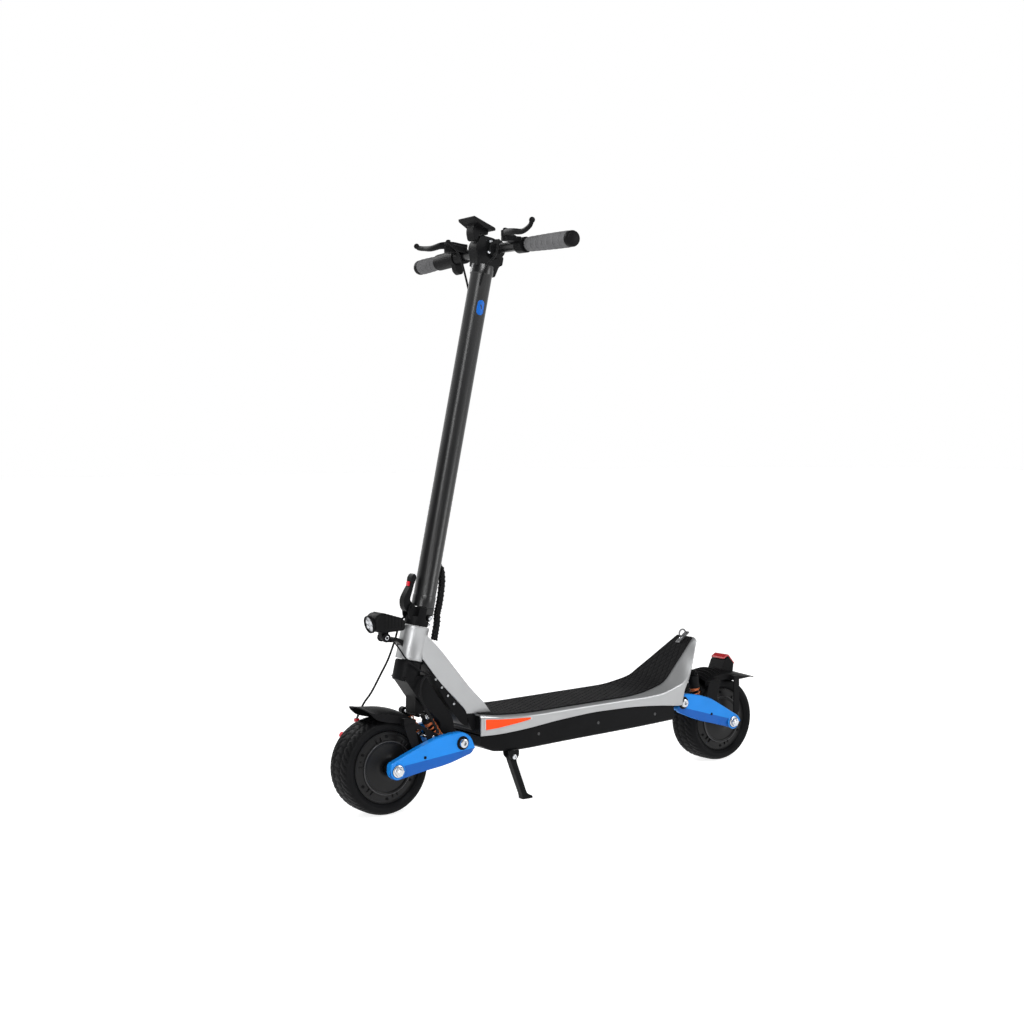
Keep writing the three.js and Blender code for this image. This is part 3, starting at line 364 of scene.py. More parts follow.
def at_station(table, x):
    """Values of a table of rows (x, value, ...) at x, smoothly between its rows."""
    rows = sorted(table)
    if x <= rows[0][0]:
        return list(rows[0][1:])
    if x >= rows[-1][0]:
        return list(rows[-1][1:])
    k = next(i for i in range(len(rows) - 1) if rows[i + 1][0] >= x)
    low, high = rows[k], rows[k + 1]
    before, after = rows[max(k - 1, 0)], rows[min(k + 2, len(rows) - 1)]
    span = high[0] - low[0]
    t = (x - low[0]) / span
    values = []
    for i in range(1, len(low)):
        slope = (high[i] - low[i]) / span
        left = (low[i] - before[i]) / (low[0] - before[0]) if before is not low else slope
        right = (after[i] - high[i]) / (after[0] - high[0]) if after is not high else slope
        m0 = 0 if left * slope <= 0 else 2 * left * slope / (left + slope)
        m1 = 0 if right * slope <= 0 else 2 * right * slope / (right + slope)
        h = t * t * (3 - 2 * t)
        values.append(
            low[i] + (high[i] - low[i]) * h
            + span * (t * (1 - t) ** 2 * m0 - t * t * (1 - t) * m1)
        )
    return values


def along(high, low, count):
    """Evenly spaced stations from high to low."""
    return [mix(high, low, i / count) for i in range(count + 1)]


# ---- Fasteners ----

fastener_count = {}


def bolt(centre, axis, radius, height, body, finish=None, socket=True, name="bolt"):
    """Button-head bolt with a hexagonal socket. centre is on the seat, axis points out."""
    fastener_count[name] = fastener_count.get(name, 0) + 1
    profile = [(0, height * 0.45)]
    if socket:
        profile += [(radius * 0.48, height * 0.45, 6), (radius * 0.5, height, 6)]
    profile += [(radius * 0.72, height), (radius * 0.93, height * 0.82), (radius, height * 0.5)]
    profile += [(radius, -0.5), (0, -0.5)]
    label = f"{name}_{fastener_count[name]:02d}"
    return revolve(label, profile, centre, axis, finish or STEEL, body, sides=36)


def both_sides(x, y, z):
    """The same spot on the left and on the right, each with its outward direction."""
    return [((x, y, z), SIDE), ((x, -y, z), -SIDE)]


# ---- Wheels ----

# Tread, in millimetres: slanting grooves beside a plain middle band, and a channel at each side of it.
TYRE_RADIUS = 101.5
TREAD_REPEATS = 42
TREAD_STEPS = 8
TREAD_START = 97.5
MIDDLE_BAND = 3
GROOVE_SLANT = 18.0
GROOVE_SHARE = 0.24
GROOVE_DEPTH = 1.9
CHANNEL_AT = 12
CHANNEL_HALF = 0.5
CHANNEL_DEPTH = 1.7


def tread_depth(step, r, y):
    """Depth of the tread at one step round the tyre, at radius r and y across."""
    if r <= TREAD_START:
        return 0.0
    if abs(abs(y) - CHANNEL_AT) < CHANNEL_HALF:
        return CHANNEL_DEPTH
    in_groove = (step / TREAD_STEPS + abs(y) / GROOVE_SLANT) % 1.0 < GROOVE_SHARE
    return GROOVE_DEPTH if in_groove and abs(y) > MIDDLE_BAND else 0.0


def tyre(end, axle):
    """Pneumatic tyre with slanting tread grooves cut into it."""
    radius = axle.z
    half = [(76.3, 30), (78, 33.5), (80, 35), (82, 36.2), (83, 37.6), (84.5, 38.6), (90, 39.6), (94, 38.6)]
    crown = [(96.5, 36.4), (98, 34), (99.4, 30.5), (100.2, 27), (100.8, 23.5), (101.15, 20), (101.35, 16),
             (101.45, 12), (101.5, 8), (101.5, 4), (101.5, 0)]
    side = half + crown
    profile = side + [(r, -y) for r, y in reversed(side[:-1])]
    sides = TREAD_REPEATS * TREAD_STEPS
    bm = bmesh.new()
    rings = []
    for i in range(sides):
        angle = 2 * math.pi * i / sides + math.pi / 2
        ring = []
        for r, y in profile:
            r = (r - tread_depth(i, r, y)) * radius / TYRE_RADIUS
            ring.append((axle.x + r * math.cos(angle), y, axle.z + r * math.sin(angle)))
        rings.append(ring)
    ring_skin(bm, rings, loop=True)
    made = add_piece(f"{end}_tyre_treaded", bm, TYRE, f"{end}_wheel", sharp=35)
    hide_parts(f"{end}_tyre")


def hub(end, axle):
    """Hub motor's shell with its ribs, screws and raised bands."""
    body = f"{end}_wheel"
    half = [
        (75.6, 0), (75.6, 29), (74.6, 30.4), (72.5, 30.9), (71, 30.4), (70, 30.6), (61.5, 32.4), (59, 32.6),
        (58, 33.2), (57, 36), (55.6, 36.9), (53.4, 36.9), (52, 36.2), (51, 34.4), (49.5, 34.2), (32, 36.4),
        (24, 37.2), (22.6, 38), (14, 38), (12.7, 37.6), (12.5, 37),
    ]
    profile = [*half, (12.5, -37), *[(r, -h) for r, h in reversed(half[:-1])]]
    bm = revolve_into(bmesh.new(), profile, axle, SIDE, 120)
    made = add_piece(f"{end}_hub_cover", bm, HUB_BLACK, body, sharp=30)
    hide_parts(f"{end}_hub_motor")
    for i in range(6):
        angle = 2 * math.pi * (i + 0.5) / 6
        seat = axle + wheel_point(66, angle) + SIDE * 31.2
        bolt(seat, SIDE, 3.4, 2.2, body, BLACK, name=f"{end}_hub_screw")
    ribs = bmesh.new()
    for i in range(12):
        angle = math.radians(60 * (i // 2) + (5 if i % 2 else -5) + 12)
        direction = wheel_point(1, angle)
        cross = wheel_point(1, angle + math.pi / 2)
        rings = []
        for reach, low, high in ((56.5, 32, 37.2), (66.5, 30, 34.4)):
            place = axle + direction * reach
            rings.append([
                place + cross * sign * 1.0 + SIDE * lift
                for sign, lift in ((-1, low), (1, low), (1, high), (-1, high))
            ])
        ring_skin(ribs, rings)
    add_piece(f"{end}_hub_ribs", ribs, HUB_BLACK, body, bevel=0.4)
    # The raised band is real, and its lighter metal colour is painted highlight along the hub's ring.
    band = [(55.2, 36.6), (55.6, 37.6), (56.6, 37.6), (57.4, 36.6), (57.4, 33), (55.2, 33), (55.2, 36.6)]
    revolve(f"{end}_hub_band", band, axle, SIDE, DARK_METAL_AND_PAINTED_HIGHLIGHT, body, sides=120)
    lip = [(74.2, 29.8), (74.5, 31.6), (75.4, 31.6), (75.7, 29.8), (74.2, 29.8)]
    revolve(f"{end}_hub_lip", lip, axle, SIDE, HUB_BLACK, body, sides=120)


def brake_disc(end, axle):
    """Drilled steel disc on its carrier."""
    body = f"{end}_wheel"
    bm = bmesh.new()
    inner_y, outer_y = -43.0, -44.8
    sides = 96
    radii = [34, 40, 46, 52, 58, 63, 66.8]
    holed_bands = (1, 3)
    wave = 1.2
    grid = {}
    for layer, y in enumerate((inner_y, outer_y)):
        for k, r in enumerate(radii):
            for i in range(sides):
                angle = 2 * math.pi * i / sides
                edge = r + wave * math.sin(angle * 12) if k == len(radii) - 1 else r
                grid[layer, k, i] = bm.verts.new(axle + wheel_point(edge, angle) + SIDE * y)

    def solid(k, i):
        hole = k in holed_bands and (i + 2 * k) % 6 in (0, 1)
        return 0 <= k < len(radii) - 1 and not hole

    for k in range(len(radii) - 1):
        for i in range(sides):
            if not solid(k, i):
                continue
            j = (i + 1) % sides
            for layer in (0, 1):
                corners = ((k, i), (k, j), (k + 1, j), (k + 1, i))
                bm.faces.new([grid[layer, *corner] for corner in corners])
            for other, a, b in (
                ((k - 1, i), (k, i), (k, j)), ((k + 1, i), (k + 1, j), (k + 1, i)),
                ((k, (i - 1) % sides), (k + 1, i), (k, i)), ((k, j), (k, j), (k + 1, j)),
            ):
                if not solid(*other):
                    bm.faces.new([grid[0, *a], grid[0, *b], grid[1, *b], grid[1, *a]])
    disc = add_piece(f"{end}_disc_rotor", bm, STEEL, body, sharp=30)
    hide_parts(f"{end}_brake_disc")
    carrier = [(13, -38.4), (36, -38.4), (38, -40), (38, -42.9), (13, -42.9), (13, -38.4)]
    revolve(f"{end}_disc_carrier", carrier, axle, SIDE, BLACK, body, sides=48)
    for i in range(6):
        angle = 2 * math.pi * i / 6
        bolt(axle + wheel_point(28, angle) - SIDE * 42.9, -SIDE, 3.2, 1.8, body, name=f"{end}_disc_bolt")


def axle_ends(end, axle):
    """Axle, washers and hexagon nuts outside the swingarms."""
    body = f"{end}_arm"
    profile = [(0, -89.5), (4.6, -89.5), (6, -88), (6, 88), (4.6, 89.5), (0, 89.5)]
    shaft = revolve(f"{end}_axle_shaft", profile, axle, SIDE, STEEL, body, sides=36)
    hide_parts(f"{end}_motor_axle")
    for side, label in ((1, "left"), (-1, "right")):
        out = SIDE * side
        washer = [(6.2, 78.2), (12.4, 78.2), (12.8, 78.7), (12.8, 79.8), (12.2, 80.2), (6.2, 80.2)]
        washer.append(washer[0])
        revolve(f"{end}_axle_washer_{label}", washer, axle, out, STEEL, body, sides=48)
        recess = [(14.0, 77.9), (14.4, 79.2), (16.2, 79.2), (17.4, 77.9), (14.0, 77.9)]
        revolve(f"{end}_axle_recess_{label}", recess, axle, out, BLUE, body, sides=60)
        nut = [(6.1, 80.2), (9.4, 80.2), (10.6, 81, 6), (10.8, 82, 6), (10.8, 86, 6), (9.2, 87, 6), (6.1, 87)]
        nut.append(nut[0])
        revolve(f"{end}_axle_nut_{label}", nut, axle, out, STEEL, body, sides=48)
        if side > 0:
            revolve(f"{end}_axle_spacer_left", sleeve(6.2, 12, 38.5, 61.5), axle, SIDE, BLACK, body, sides=48)


for which, position in (("front", FRONT_AXLE), ("rear", REAR_AXLE)):
    tyre(which, position)
    hub(which, position)
    brake_disc(which, position)
    axle_ends(which, position)


# ---- Swingarms ----


def swingarm(end, outline, crease, bar):
    """Pair of blue arms. Below the crease the outer face leans in to the lower edge."""
    body = f"{end}_arm"
    outline = rounded(outline, 6)

    def crease_at(x):
        (x0, z0), (x1, z1) = crease
        return mix(z0, z1, (x - x0) / (x1 - x0))

    bm = bmesh.new()
    for side in (1, -1):
        inner, base, top = [], [], []
        for p in outline:
            line = crease_at(p.x)
            inner.append((p.x, 62 * side, p.y))
            if p.y < line:
                base.append((p.x, 70.5 * side, p.y))
                top.append((p.x, 78 * side, line - 0.2))
            else:
                base.append((p.x, 76 * side, p.y))
                centre = min(max(p.x, crease[0][0]), crease[1][0])
                top.append((mix(p.x, centre, 0.15), 78 * side, max(p.y - 2.2, line)))
        ring_skin(bm, [inner, base, top])
    arms = add_piece(f"{end}_arms", bm, BLUE, body, bevel=0.7, segments=3, sharp=50)
    # The arms' faces that lean downwards take the darker blue as painted shade.
    arms.data.materials.append(BADGE_BLUE_AND_PAINTED_SHADE)
    for face in arms.data.polygons:
        if -0.75 < face.normal.z < -0.12 and abs(face.normal.y) > 0.5:
            face.material_index = 1
    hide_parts(f"{end}_swingarm")
    revolve(f"{end}_arm_cross_bar", rod(7, 63), (bar[0], 0, bar[1]), SIDE, BLUE, body, sides=32)


FRONT_ARM = [
    [501, 117, 6], [450, 138, 30], [381, 162, 30], [323, 166, 18], [302, 154, 12], [290, 126, 10],
    [296, 116, 6], [356, 99, 25], [424, 91, 25], [485, 80, 12], [502, 92, 10],
]
REAR_ARM = [
    [-306, 185, 10], [-347, 179, 20], [-389, 167, 30], [-482, 114, 12], [-489, 98, 10], [-475, 82, 10],
    [-422, 98, 25], [-357, 115, 25], [-293, 141, 8], [-287, 154, 8],
]
swingarm("front", FRONT_ARM, ((300, 128), (502, 108)), (332, 116))
swingarm("rear", REAR_ARM, ((-489, 100), (-290, 156)), (-330, 142))

for which, pivot in (("front", FRONT_PIVOT), ("rear", REAR_PIVOT)):
    body = f"{which}_arm"
    pivot_shaft = revolve(f"{which}_pivot_shaft", rod(6, 78), pivot, SIDE, STEEL, body, sides=32)
    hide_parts(f"{which}_pivot_bolt")
    for spot, outwards in both_sides(pivot.x, 78.2, pivot.z):
        washer = [(6, 0), (14.2, 0), (14.8, 0.7), (14.2, 1.4), (6, 1.4), (6, 0)]
        label = "left" if outwards.y > 0 else "right"
        revolve(f"{which}_pivot_washer_{label}", washer, spot, outwards, BLACK, body, sides=48)
        bolt(Vector(spot) + outwards * 1.4, outwards, 10, 7.2, body, name=f"{which}_pivot_head")

for end, screw_x, screw_z in (("front", 418, 122), ("rear", -392, 128)):
    for spot, outwards in both_sides(screw_x, 78, screw_z):
        bolt(spot, outwards, 3.2, 1.2, f"{end}_arm", BLACK, name=f"{end}_arm_screw")


# Red adjusters on the front caliper.
for number, spot, aim in (("upper", (509, -50, 184), (0, 0, 1)), ("lower", (538, -50, 160), (0.8, 0, 0.6))):
    knob = [(0, 0), (3.2, 0), (3.2, 6), (6.0, 6), (6.0, 11.4), (5.2, 12.4), (0, 12.4)]
    revolve(f"front_adjuster_{number}", knob, spot, aim, RED, "front_arm", sides=24)
    revolve(f"front_adjuster_nut_{number}", sleeve(3.3, 4.6, 1, 4), spot, aim, STEEL, "front_arm", sides=24)


# ---- Shock absorbers ----

# Lower eyes, as x and z.
FRONT_SHOCK_LOW = (359, 145)
REAR_SHOCK_LOW = (-372, 150)


def shock(end, top, low, lower_name, y, cap, damper):
    """Damper and coil spring between the upper pivot and the lower one, at one side."""
    side_name = "left" if y > 0 else "right"
    body_top = f"{end}_shock_upper"
    body_low = f"{end}_shock_lower"
    bottom = Vector((low[0], y, low[1]))
    top = Vector((top.x, y, top.z))
    down = (bottom - top).normalized()
    length = (bottom - top).length
    cap_profile = [
        (0, 5), (9, 5), (11.8, 6), (12.9, 7.5), (12.9, cap - 2), (12.4, cap - 0.4), (8, cap - 0.4),
        (7, cap), (7, damper - 1), (6.4, damper), (4.6, damper), (4.6, damper - 6), (0, damper - 6),
    ]
    shell = revolve(f"{end}_damper_{side_name}", cap_profile, top, down, BLACK, body_top, sides=48)
    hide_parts(f"{end}_shock_bodies")
    piston = [
        (0, cap + 12), (4, cap + 12), (4, length - 11.7), (12.6, length - 11.7), (12.9, length - 11),
        (12.9, length - 7.5), (11.6, length - 6), (0, length - 6),
    ]
    rod_piece = revolve(f"{end}_damper_rod_{side_name}", piston, top, down, BRUSHED, body_low, sides=48)
    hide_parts(lower_name)
    eye = [(0, -6.8), (7, -6.8), (8, -5.8), (8, 5.8), (7, 6.8), (0, 6.8)]
    revolve(f"{end}_shock_top_eye_{side_name}", eye, top, SIDE, BLACK, body_top, sides=36)
    revolve(f"{end}_shock_low_eye_{side_name}", eye, bottom, SIDE, BLACK, body_low, sides=36)
    turns = 5.6 if length - cap > 45 else 4.2
    start, stop = cap + 1.6, length - 13.6
    radius = 10.7
    other = down.cross(SIDE)
    path = []
    steps = int(turns * 24)
    for i in range(steps + 1):
        t = i / steps
        rise = min(max((t * turns - 0.75) / (turns - 1.5), 0), 1)
        angle = 2 * math.pi * turns * t
        path.append(polar(top + down * mix(start, stop, rise), SIDE, other, radius, angle))
    wire = sweep_into(bmesh.new(), path, 1.75, 10)
    coil = add_piece(f"{end}_coil_{side_name}", wire, COPPER, body_top, sharp=60)
    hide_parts(f"{end}_spring_{side_name}")
    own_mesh(coil)
    out = SIDE if y > 0 else -SIDE
    bolt(top + out * 7, out, 6, 5, body_top, BLACK if end == "rear" else STEEL, name=f"{end}_shock_bolt")


for side_y, side_name in ((1, "left"), (-1, "right")):
    shock("front", FRONT_SHOCK_TOP, FRONT_SHOCK_LOW, "front_shock_rods", 45 * side_y, 14, 43)
    shock("rear", REAR_SHOCK_TOP, REAR_SHOCK_LOW, f"rear_shock_rod_{side_name}", 46 * side_y, 36, 55)
for label, half, centre, body in (
    ("front_shock_cross_bolt", 50, FRONT_SHOCK_TOP, "front_shock_upper"),
    ("rear_shock_cross_bolt", 50, REAR_SHOCK_TOP, "rear_shock_upper"),
    ("front_shock_cross_pin", 60.5, (FRONT_SHOCK_LOW[0], 0, FRONT_SHOCK_LOW[1]), "front_shock_lower"),
):
    revolve(label, rod(4, half), centre, SIDE, STEEL, body, sides=24)


# ---- Mudguards ----


GUARD_CURVE = 2.4  # the power by which a mudguard bends down towards its edges


def mudguard(name, path, body, finish):
    """Curved guard along rows of (x, z, half width, edge drop, skirt depth)."""
    bm = bmesh.new()
    count = 56
    centres = spline([(row[0], 0, row[1]) for row in path], count)
    shape = spline([(row[2], row[3], row[4]) for row in path], count)
    rings = []
    thickness = 2.4
    for i, (centre, (half, drop, skirt)) in enumerate(zip(centres, shape)):
        tangent = (centres[min(i + 1, count)] - centres[max(i - 1, 0)]).normalized()
        inward = Vector((-tangent.z, 0, tangent.x))
        if inward.z > 0:
            inward = -inward
        outer = []
        for step in range(-8, 9):
            s = step / 8
            outer.append((half * s, drop * abs(s) ** GUARD_CURVE))
        line = [(-half, drop + skirt), *outer, (half, drop + skirt)]
        inner = [
            (y * (half - thickness) / half, depth + (thickness if abs(y) < half - 0.01 else 0))
            for y, depth in reversed(line)
        ]
        ring = [centre + SIDE * y + inward * depth for y, depth in line + inner]
        rings.append(ring)
    ring_skin(bm, rings)
    return add_piece(name, bm, finish, body, sharp=40)


FRONT_GUARD = [
    (532, 229, 42, 3, 1), (526, 228.6, 45.5, 6, 5), (510, 227.6, 46, 9, 13), (484, 225.5, 46, 10, 17),
    (458, 219.8, 46, 10, 16), (438, 211.5, 45.5, 10, 13), (426, 204.5, 42, 8, 6), (417, 197.5, 34, 3, 1),
]
REAR_GUARD = [
    (-585, 195.5, 26, 1.5, 0.5), (-565, 201, 36, 3, 1), (-545, 206.5, 43, 6, 3), (-520, 213.5, 46, 9, 8),
    (-492, 220.5, 46, 10, 12), (-463, 224, 46, 10, 14), (-430, 221, 46, 10, 16), (-399, 212, 45, 10, 14),
]
front_guard = mudguard("front_mudguard", FRONT_GUARD, "front_arm", PLASTIC)
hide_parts("front_fender")
rear_guard = mudguard("rear_mudguard", REAR_GUARD, "rear_arm", PLASTIC)
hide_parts("rear_fender")

FRONT_STAYS = [
    [[459, 191, 3], [432, 194, 3], [431, 181, 2], [421, 142, 3], [430, 124, 5], [447, 158, 12]],
    [[433, 196, 3], [400, 178, 14], [359, 154, 6], [352, 135, 5], [430, 124, 5], [422, 142, 3], [400, 152, 6],
     [410, 177, 5], [432, 181, 2]],
]
FRONT_STAY_WEB = [[459, 191, 2], [458, 206, 2], [430, 201, 2], [430, 194, 2]]
REAR_STAYS = [
    [[-400, 200, 4], [-440, 202, 4], [-425, 168, 10], [-430, 140, 5], [-398, 146, 5], [-391, 168, 8]],
    [[-482, 206, 2], [-499, 206, 2], [-499, 120, 5], [-481, 113, 5]],
]
REAR_WEBS = [
    [[-402, 192, 1], [-402, 203, 1], [-432, 208, 1], [-434, 199, 1]],
    [[-482, 198, 1], [-482, 210, 1], [-499, 208, 1], [-499, 198, 1]],
]


def plates(name, outlines, inner, outer, side, label, body):
    """Flat plates at one side, from the inner distance to the outer one."""
    for number, outline in enumerate(outlines):
        prism(f"{name}_{number}_{label}", outline, inner * side, outer * side, PLASTIC, body, bevel=0.7)


for side, label in ((1, "left"), (-1, "right")):
    plates("front_stay", FRONT_STAYS, 58.7, 61.6, side, label, "front_arm")
    bolt((388, 61.6 * side, 160), SIDE * side, 3, 1.4, "front_arm", name="front_stay_screw")
    bolt((432, 61.6 * side, 131), SIDE * side, 3, 1.4, "front_arm", name="front_stay_screw")
    prism(f"front_stay_web_{label}", FRONT_STAY_WEB, 43 * side, 61 * side, PLASTIC, "front_arm", bevel=0.7)
    plates("rear_stay", REAR_STAYS, 58.7, 61.6, side, label, "rear_arm")
    plates("rear_stay_web", REAR_WEBS, 43, 61, side, label, "rear_arm")

# Cross ribs on the front of the rear mudguard.
for number, (x, z) in enumerate(((-404, 215.3), (-415, 219), (-427, 221.9), (-440, 223.9), (-452, 225))):
    arc = [(x, 44 * step / 8, z - 10 * abs(step / 8) ** GUARD_CURVE) for step in range(-8, 9)]
    sweep(f"rear_guard_rib_{number}", arc, 1.5, PLASTIC, "rear_arm", sides=10, count=48)

# Tail light housing on the rear mudguard, with its red lens.
LAMP_HOUSING = [[-474, 220, 2], [-486, 245, 5], [-498, 253, 4], [-515, 234, 3], [-512, 212, 2]]
prism("tail_light_housing", LAMP_HOUSING, -25, 25, PLASTIC, "rear_arm", bevel=2.0, segments=3)
TAIL_LENS = [
    [-484, 246.6, 0.5], [-483.6, 250, 1.5], [-498.6, 258.2, 4], [-520.2, 233.6, 1], [-516.8, 232.2, 0.5],
    [-498.4, 253.6, 2],
]
tail_lens = prism("tail_lens_red", TAIL_LENS, -22, 22, RED_LENS, "rear_arm", bevel=0.9, segments=3)
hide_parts("tail_light_lens")


# ---- Deck, mat and battery tray ----

# x, half width of the top, of the side, height of the top, of the shoulder and of the lower edge
DECK = [
    (264, 55, 60, 192.7, 187, 146), (221, 73, 79, 189.7, 185, 150), (147, 84, 90, 188.7, 184, 158),
    (65, 84, 90, 190.7, 186, 166.5), (-48, 84, 90, 193.7, 189, 173), (-121, 84, 90, 195.7, 190, 173),
    (-171, 80, 90, 198.7, 191, 171), (-222, 74, 90, 207.7, 194, 167), (-250, 69, 89, 215.7, 200, 164),
    (-277, 62, 87, 233.7, 207, 161), (-289, 58, 86, 242.7, 210, 160.5), (-302, 54, 83, 252.3, 215, 195),
    (-329, 46, 70, 272.7, 232, 222), (-378, 32, 40, 309.7, 303, 299),
]
MAT_WIDTH = [
    (264, 51), (221, 69), (147, 79), (65, 79), (-48, 80), (-121, 80), (-171, 74), (-222, 68), (-250, 64),
    (-277, 58), (-289, 54), (-302, 50), (-329, 42), (-378, 27),
]
TRAY = [
    (264, 57, 124), (232, 74, 111), (192, 82, 110), (147, 87, 111.5), (65, 87, 115), (-48, 87, 119),
    (-121, 87, 121.5), (-171, 87, 123.5), (-222, 87, 126), (-266, 85, 128),
]


def deck_section(x):
    """Closed outline of the deck shell across the scooter at x."""
    top, side, surface, shoulder, edge = at_station(DECK, x)
    wall = 3.6
    outer = rounded([
        [side, edge, 1.2], [side, shoulder, 3.5], [top, surface, 4.5], [-top, surface, 4.5],
        [-side, shoulder, 3.5], [-side, edge, 1.2],
    ], 4)
    low = min(edge, shoulder - wall - 0.5)
    inner = [
        (-side + wall, low), (-side + wall, shoulder - wall), (-top + wall, surface - wall),
        (top - wall, surface - wall), (side - wall, shoulder - wall), (side - wall, low),
    ]
    return [(x, p.x, p.y) for p in outer] + [(x, y, z) for y, z in inner]


def loft(name, sections, finish, body, sharp=28, **options):
    """A skin over a row of outlines that have equal counts of points."""
    return add_piece(name, ring_skin(bmesh.new(), sections), finish, body, sharp=sharp, **options)


deck_x = along(264, -289, 60) + along(-289, -302, 6)[1:] + along(-302, -378, 16)[1:]
deck_shell = loft("deck_shell", [deck_section(x) for x in deck_x], SILVER, "chassis")
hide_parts("deck_frame")

PIVOT_BLOCK = [
    [-270, 227, 2], [-270, 150, 4], [-296, 152, 6], [-308, 170, 5], [-292, 198, 4], [-290, 238, 2],
]
prism("rear_pivot_block", PIVOT_BLOCK, -55, 55, BLACK, "chassis", bevel=1.5)
revolve("rear_pivot_boss", sleeve(6.3, 13, -61.6, 61.6), REAR_PIVOT, SIDE, BLACK, "chassis", sides=48)
SHOCK_LUG = [
    [-343, 280, 1],
    [REAR_SHOCK_TOP.x + 9, REAR_SHOCK_TOP.z, 6],
    [REAR_SHOCK_TOP.x, REAR_SHOCK_TOP.z - 8.5, 5],
    [REAR_SHOCK_TOP.x - 10, REAR_SHOCK_TOP.z, 6],
    [-373, 303, 1],
]
prism("rear_shock_lug", SHOCK_LUG, -20, 20, BLACK, "chassis", bevel=1.2)


MAT_THICKNESS = 3.1
DIAMOND_LENGTH = 25
DIAMOND_WIDTH = 16
DIAMOND_GROOVE = 1.3


def diamond_depth(x, y):
    """Depth of the grooves between the diamonds of the mat."""
    first = abs((x / DIAMOND_LENGTH + y / DIAMOND_WIDTH) % 1 - 0.5)
    second = abs((x / DIAMOND_LENGTH - y / DIAMOND_WIDTH) % 1 - 0.5)
    return DIAMOND_GROOVE if max(first, second) > 0.44 else 0.0


def mat_section(x):
    """Outline of the grip mat at x, with its diamonds pressed in."""
    half = at_station(MAT_WIDTH, x)[0]
    surface = at_station(DECK, x)[2]
    count = 84
    top = []
    for i in range(count + 1):
        y = half * (1 - 2 * i / count)
        rim = abs(y) > half - 4
        sunk = 0 if rim else diamond_depth(x, y)
        if i in (0, count):
            sunk += 1.0
        top.append((x, y, surface + MAT_THICKNESS - sunk))
    return [(x, half, surface + 0.2), *top, (x, -half, surface + 0.2)]


mat_x = along(262, -375, 300)
mat_piece = loft("deck_mat_rubber", [mat_section(x) for x in mat_x], MAT, "chassis", sharp=25)
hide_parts("deck_mat")


def tray_section(x):
    """Closed outline of the battery tray at x."""
    half, low = at_station(TRAY, x)
    top = at_station(DECK, x)[4] - 0.8
    outer = rounded([[half, top, 0.6], [half, low, 8], [-half, low, 8], [-half, top, 0.6]], 4)
    inner = [(-half + 3, top), (-half + 3, low + 6), (half - 3, low + 6), (half - 3, top)]
    return [(x, p.x, p.y) for p in outer] + [(x, y, z) for y, z in inner]


tray_x = along(264, 147, 24) + along(147, -266, 30)[1:]
tray = loft("battery_tray_shell", [tray_section(x) for x in tray_x], BLACK, "chassis", sharp=32)
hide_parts("battery_tray")
front_wall = [tray_section(x)[:20] for x in (263.8, 260.8)]
loft("battery_tray_front", front_wall, BLACK, "chassis", sharp=32)
rear_wall = [tray_section(x)[:20] for x in (-262.8, -265.8)]
loft("battery_tray_rear", rear_wall, BLACK, "chassis", sharp=32)
for screw_x, screw_z in ((130, 141), (-37, 147), (-205, 149)):
    for spot, outwards in both_sides(screw_x, 86.9, screw_z):
        bolt(spot, outwards, 3.4, 1.2, "chassis", DARK_METAL_AND_PAINTED_HIGHLIGHT, name="tray_screw")
FRONT_CAP = [[264.3, 188], [264.3, 149], [260, 149], [260, 188]]
prism("deck_front_cap", FRONT_CAP, -55, 55, BLACK, "chassis", bevel=0.3)
stand_lug = [[183, 112, 1], [183, 98, 7], [196, 88, 7], [208, 98, 6], [210, 112, 1]]
for y0, y1, label in ((62.5, 66.7, "inner"), (83.3, 87.5, "outer")):
    prism(f"stand_lug_{label}", stand_lug, y0, y1, BLACK, "chassis", bevel=0.8)
bolt((STAND_PIVOT.x, 87.5, STAND_PIVOT.z), SIDE, 5.5, 2.5, "chassis", name="stand_bolt")


# ---- Reflectors ----


def reflector(side, label):
    """Orange wedge in a grey border, on the front of the deck's side."""

    def section(x, inset, lift):
        low = mix(176, 158, (x - 150) / 107)
        high = mix(182, 184.3, (x - 150) / 107)
        half = at_station(DECK, x)[1]
        low, high = low + inset, high - inset
        if high < low:
            low = high = (low + high) / 2
        near, far = half + 0.3, half + lift
        corners = ((near, low), (far, low + 0.3), (far, high - 0.3), (near, high))
        return [(x, side * y, z) for y, z in corners]

    frame_rings = [section(x, 0, 1.6) for x in along(257, 150, 24)]
    lens_rings = [section(x, 1.2, 2.6) for x in along(255.5, 155, 24)]
    border = loft(f"reflector_border_{label}", frame_rings, BORDER, "chassis")
    lens = loft(f"reflector_lens_{label}", lens_rings, ORANGE, "chassis")
    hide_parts(f"reflector_{label}")


reflector(1, "left")
reflector(-1, "right")


# ---- Neck beam and head tube ----

NECK = [
    [394, 386, 1], [348, 340, 20], [272, 246, 20], [241, 216, 10], [222, 191.5, 1], [262, 192.5, 1],
    [284, 192.5, 2], [289, 203, 8], [349, 267, 20], [391, 322, 1],
]


def neck_taper(x):
    """Share of its full width that the neck has at x."""
    return mix(1, 0.7, min(max((x - 264) / 128, 0), 1))


def neck_box():
    """Silver beam whose long edges are drawn in towards its middle line."""
    outline = rounded(NECK, 6)
    centre = Vector((318, 268))
    rings = []
    for y, inset in ((-38, 3.2), (-36.6, 0.9), (-33, 0), (33, 0), (36.6, 0.9), (38, 3.2)):
        ring = []
        for p in outline:
            q = p - (p - centre).normalized() * inset
            ring.append((q.x, y * neck_taper(p.x), q.y))
        rings.append(ring)
    return add_piece("neck_beam_box", ring_skin(bmesh.new(), rings), SILVER, "chassis", sharp=35)


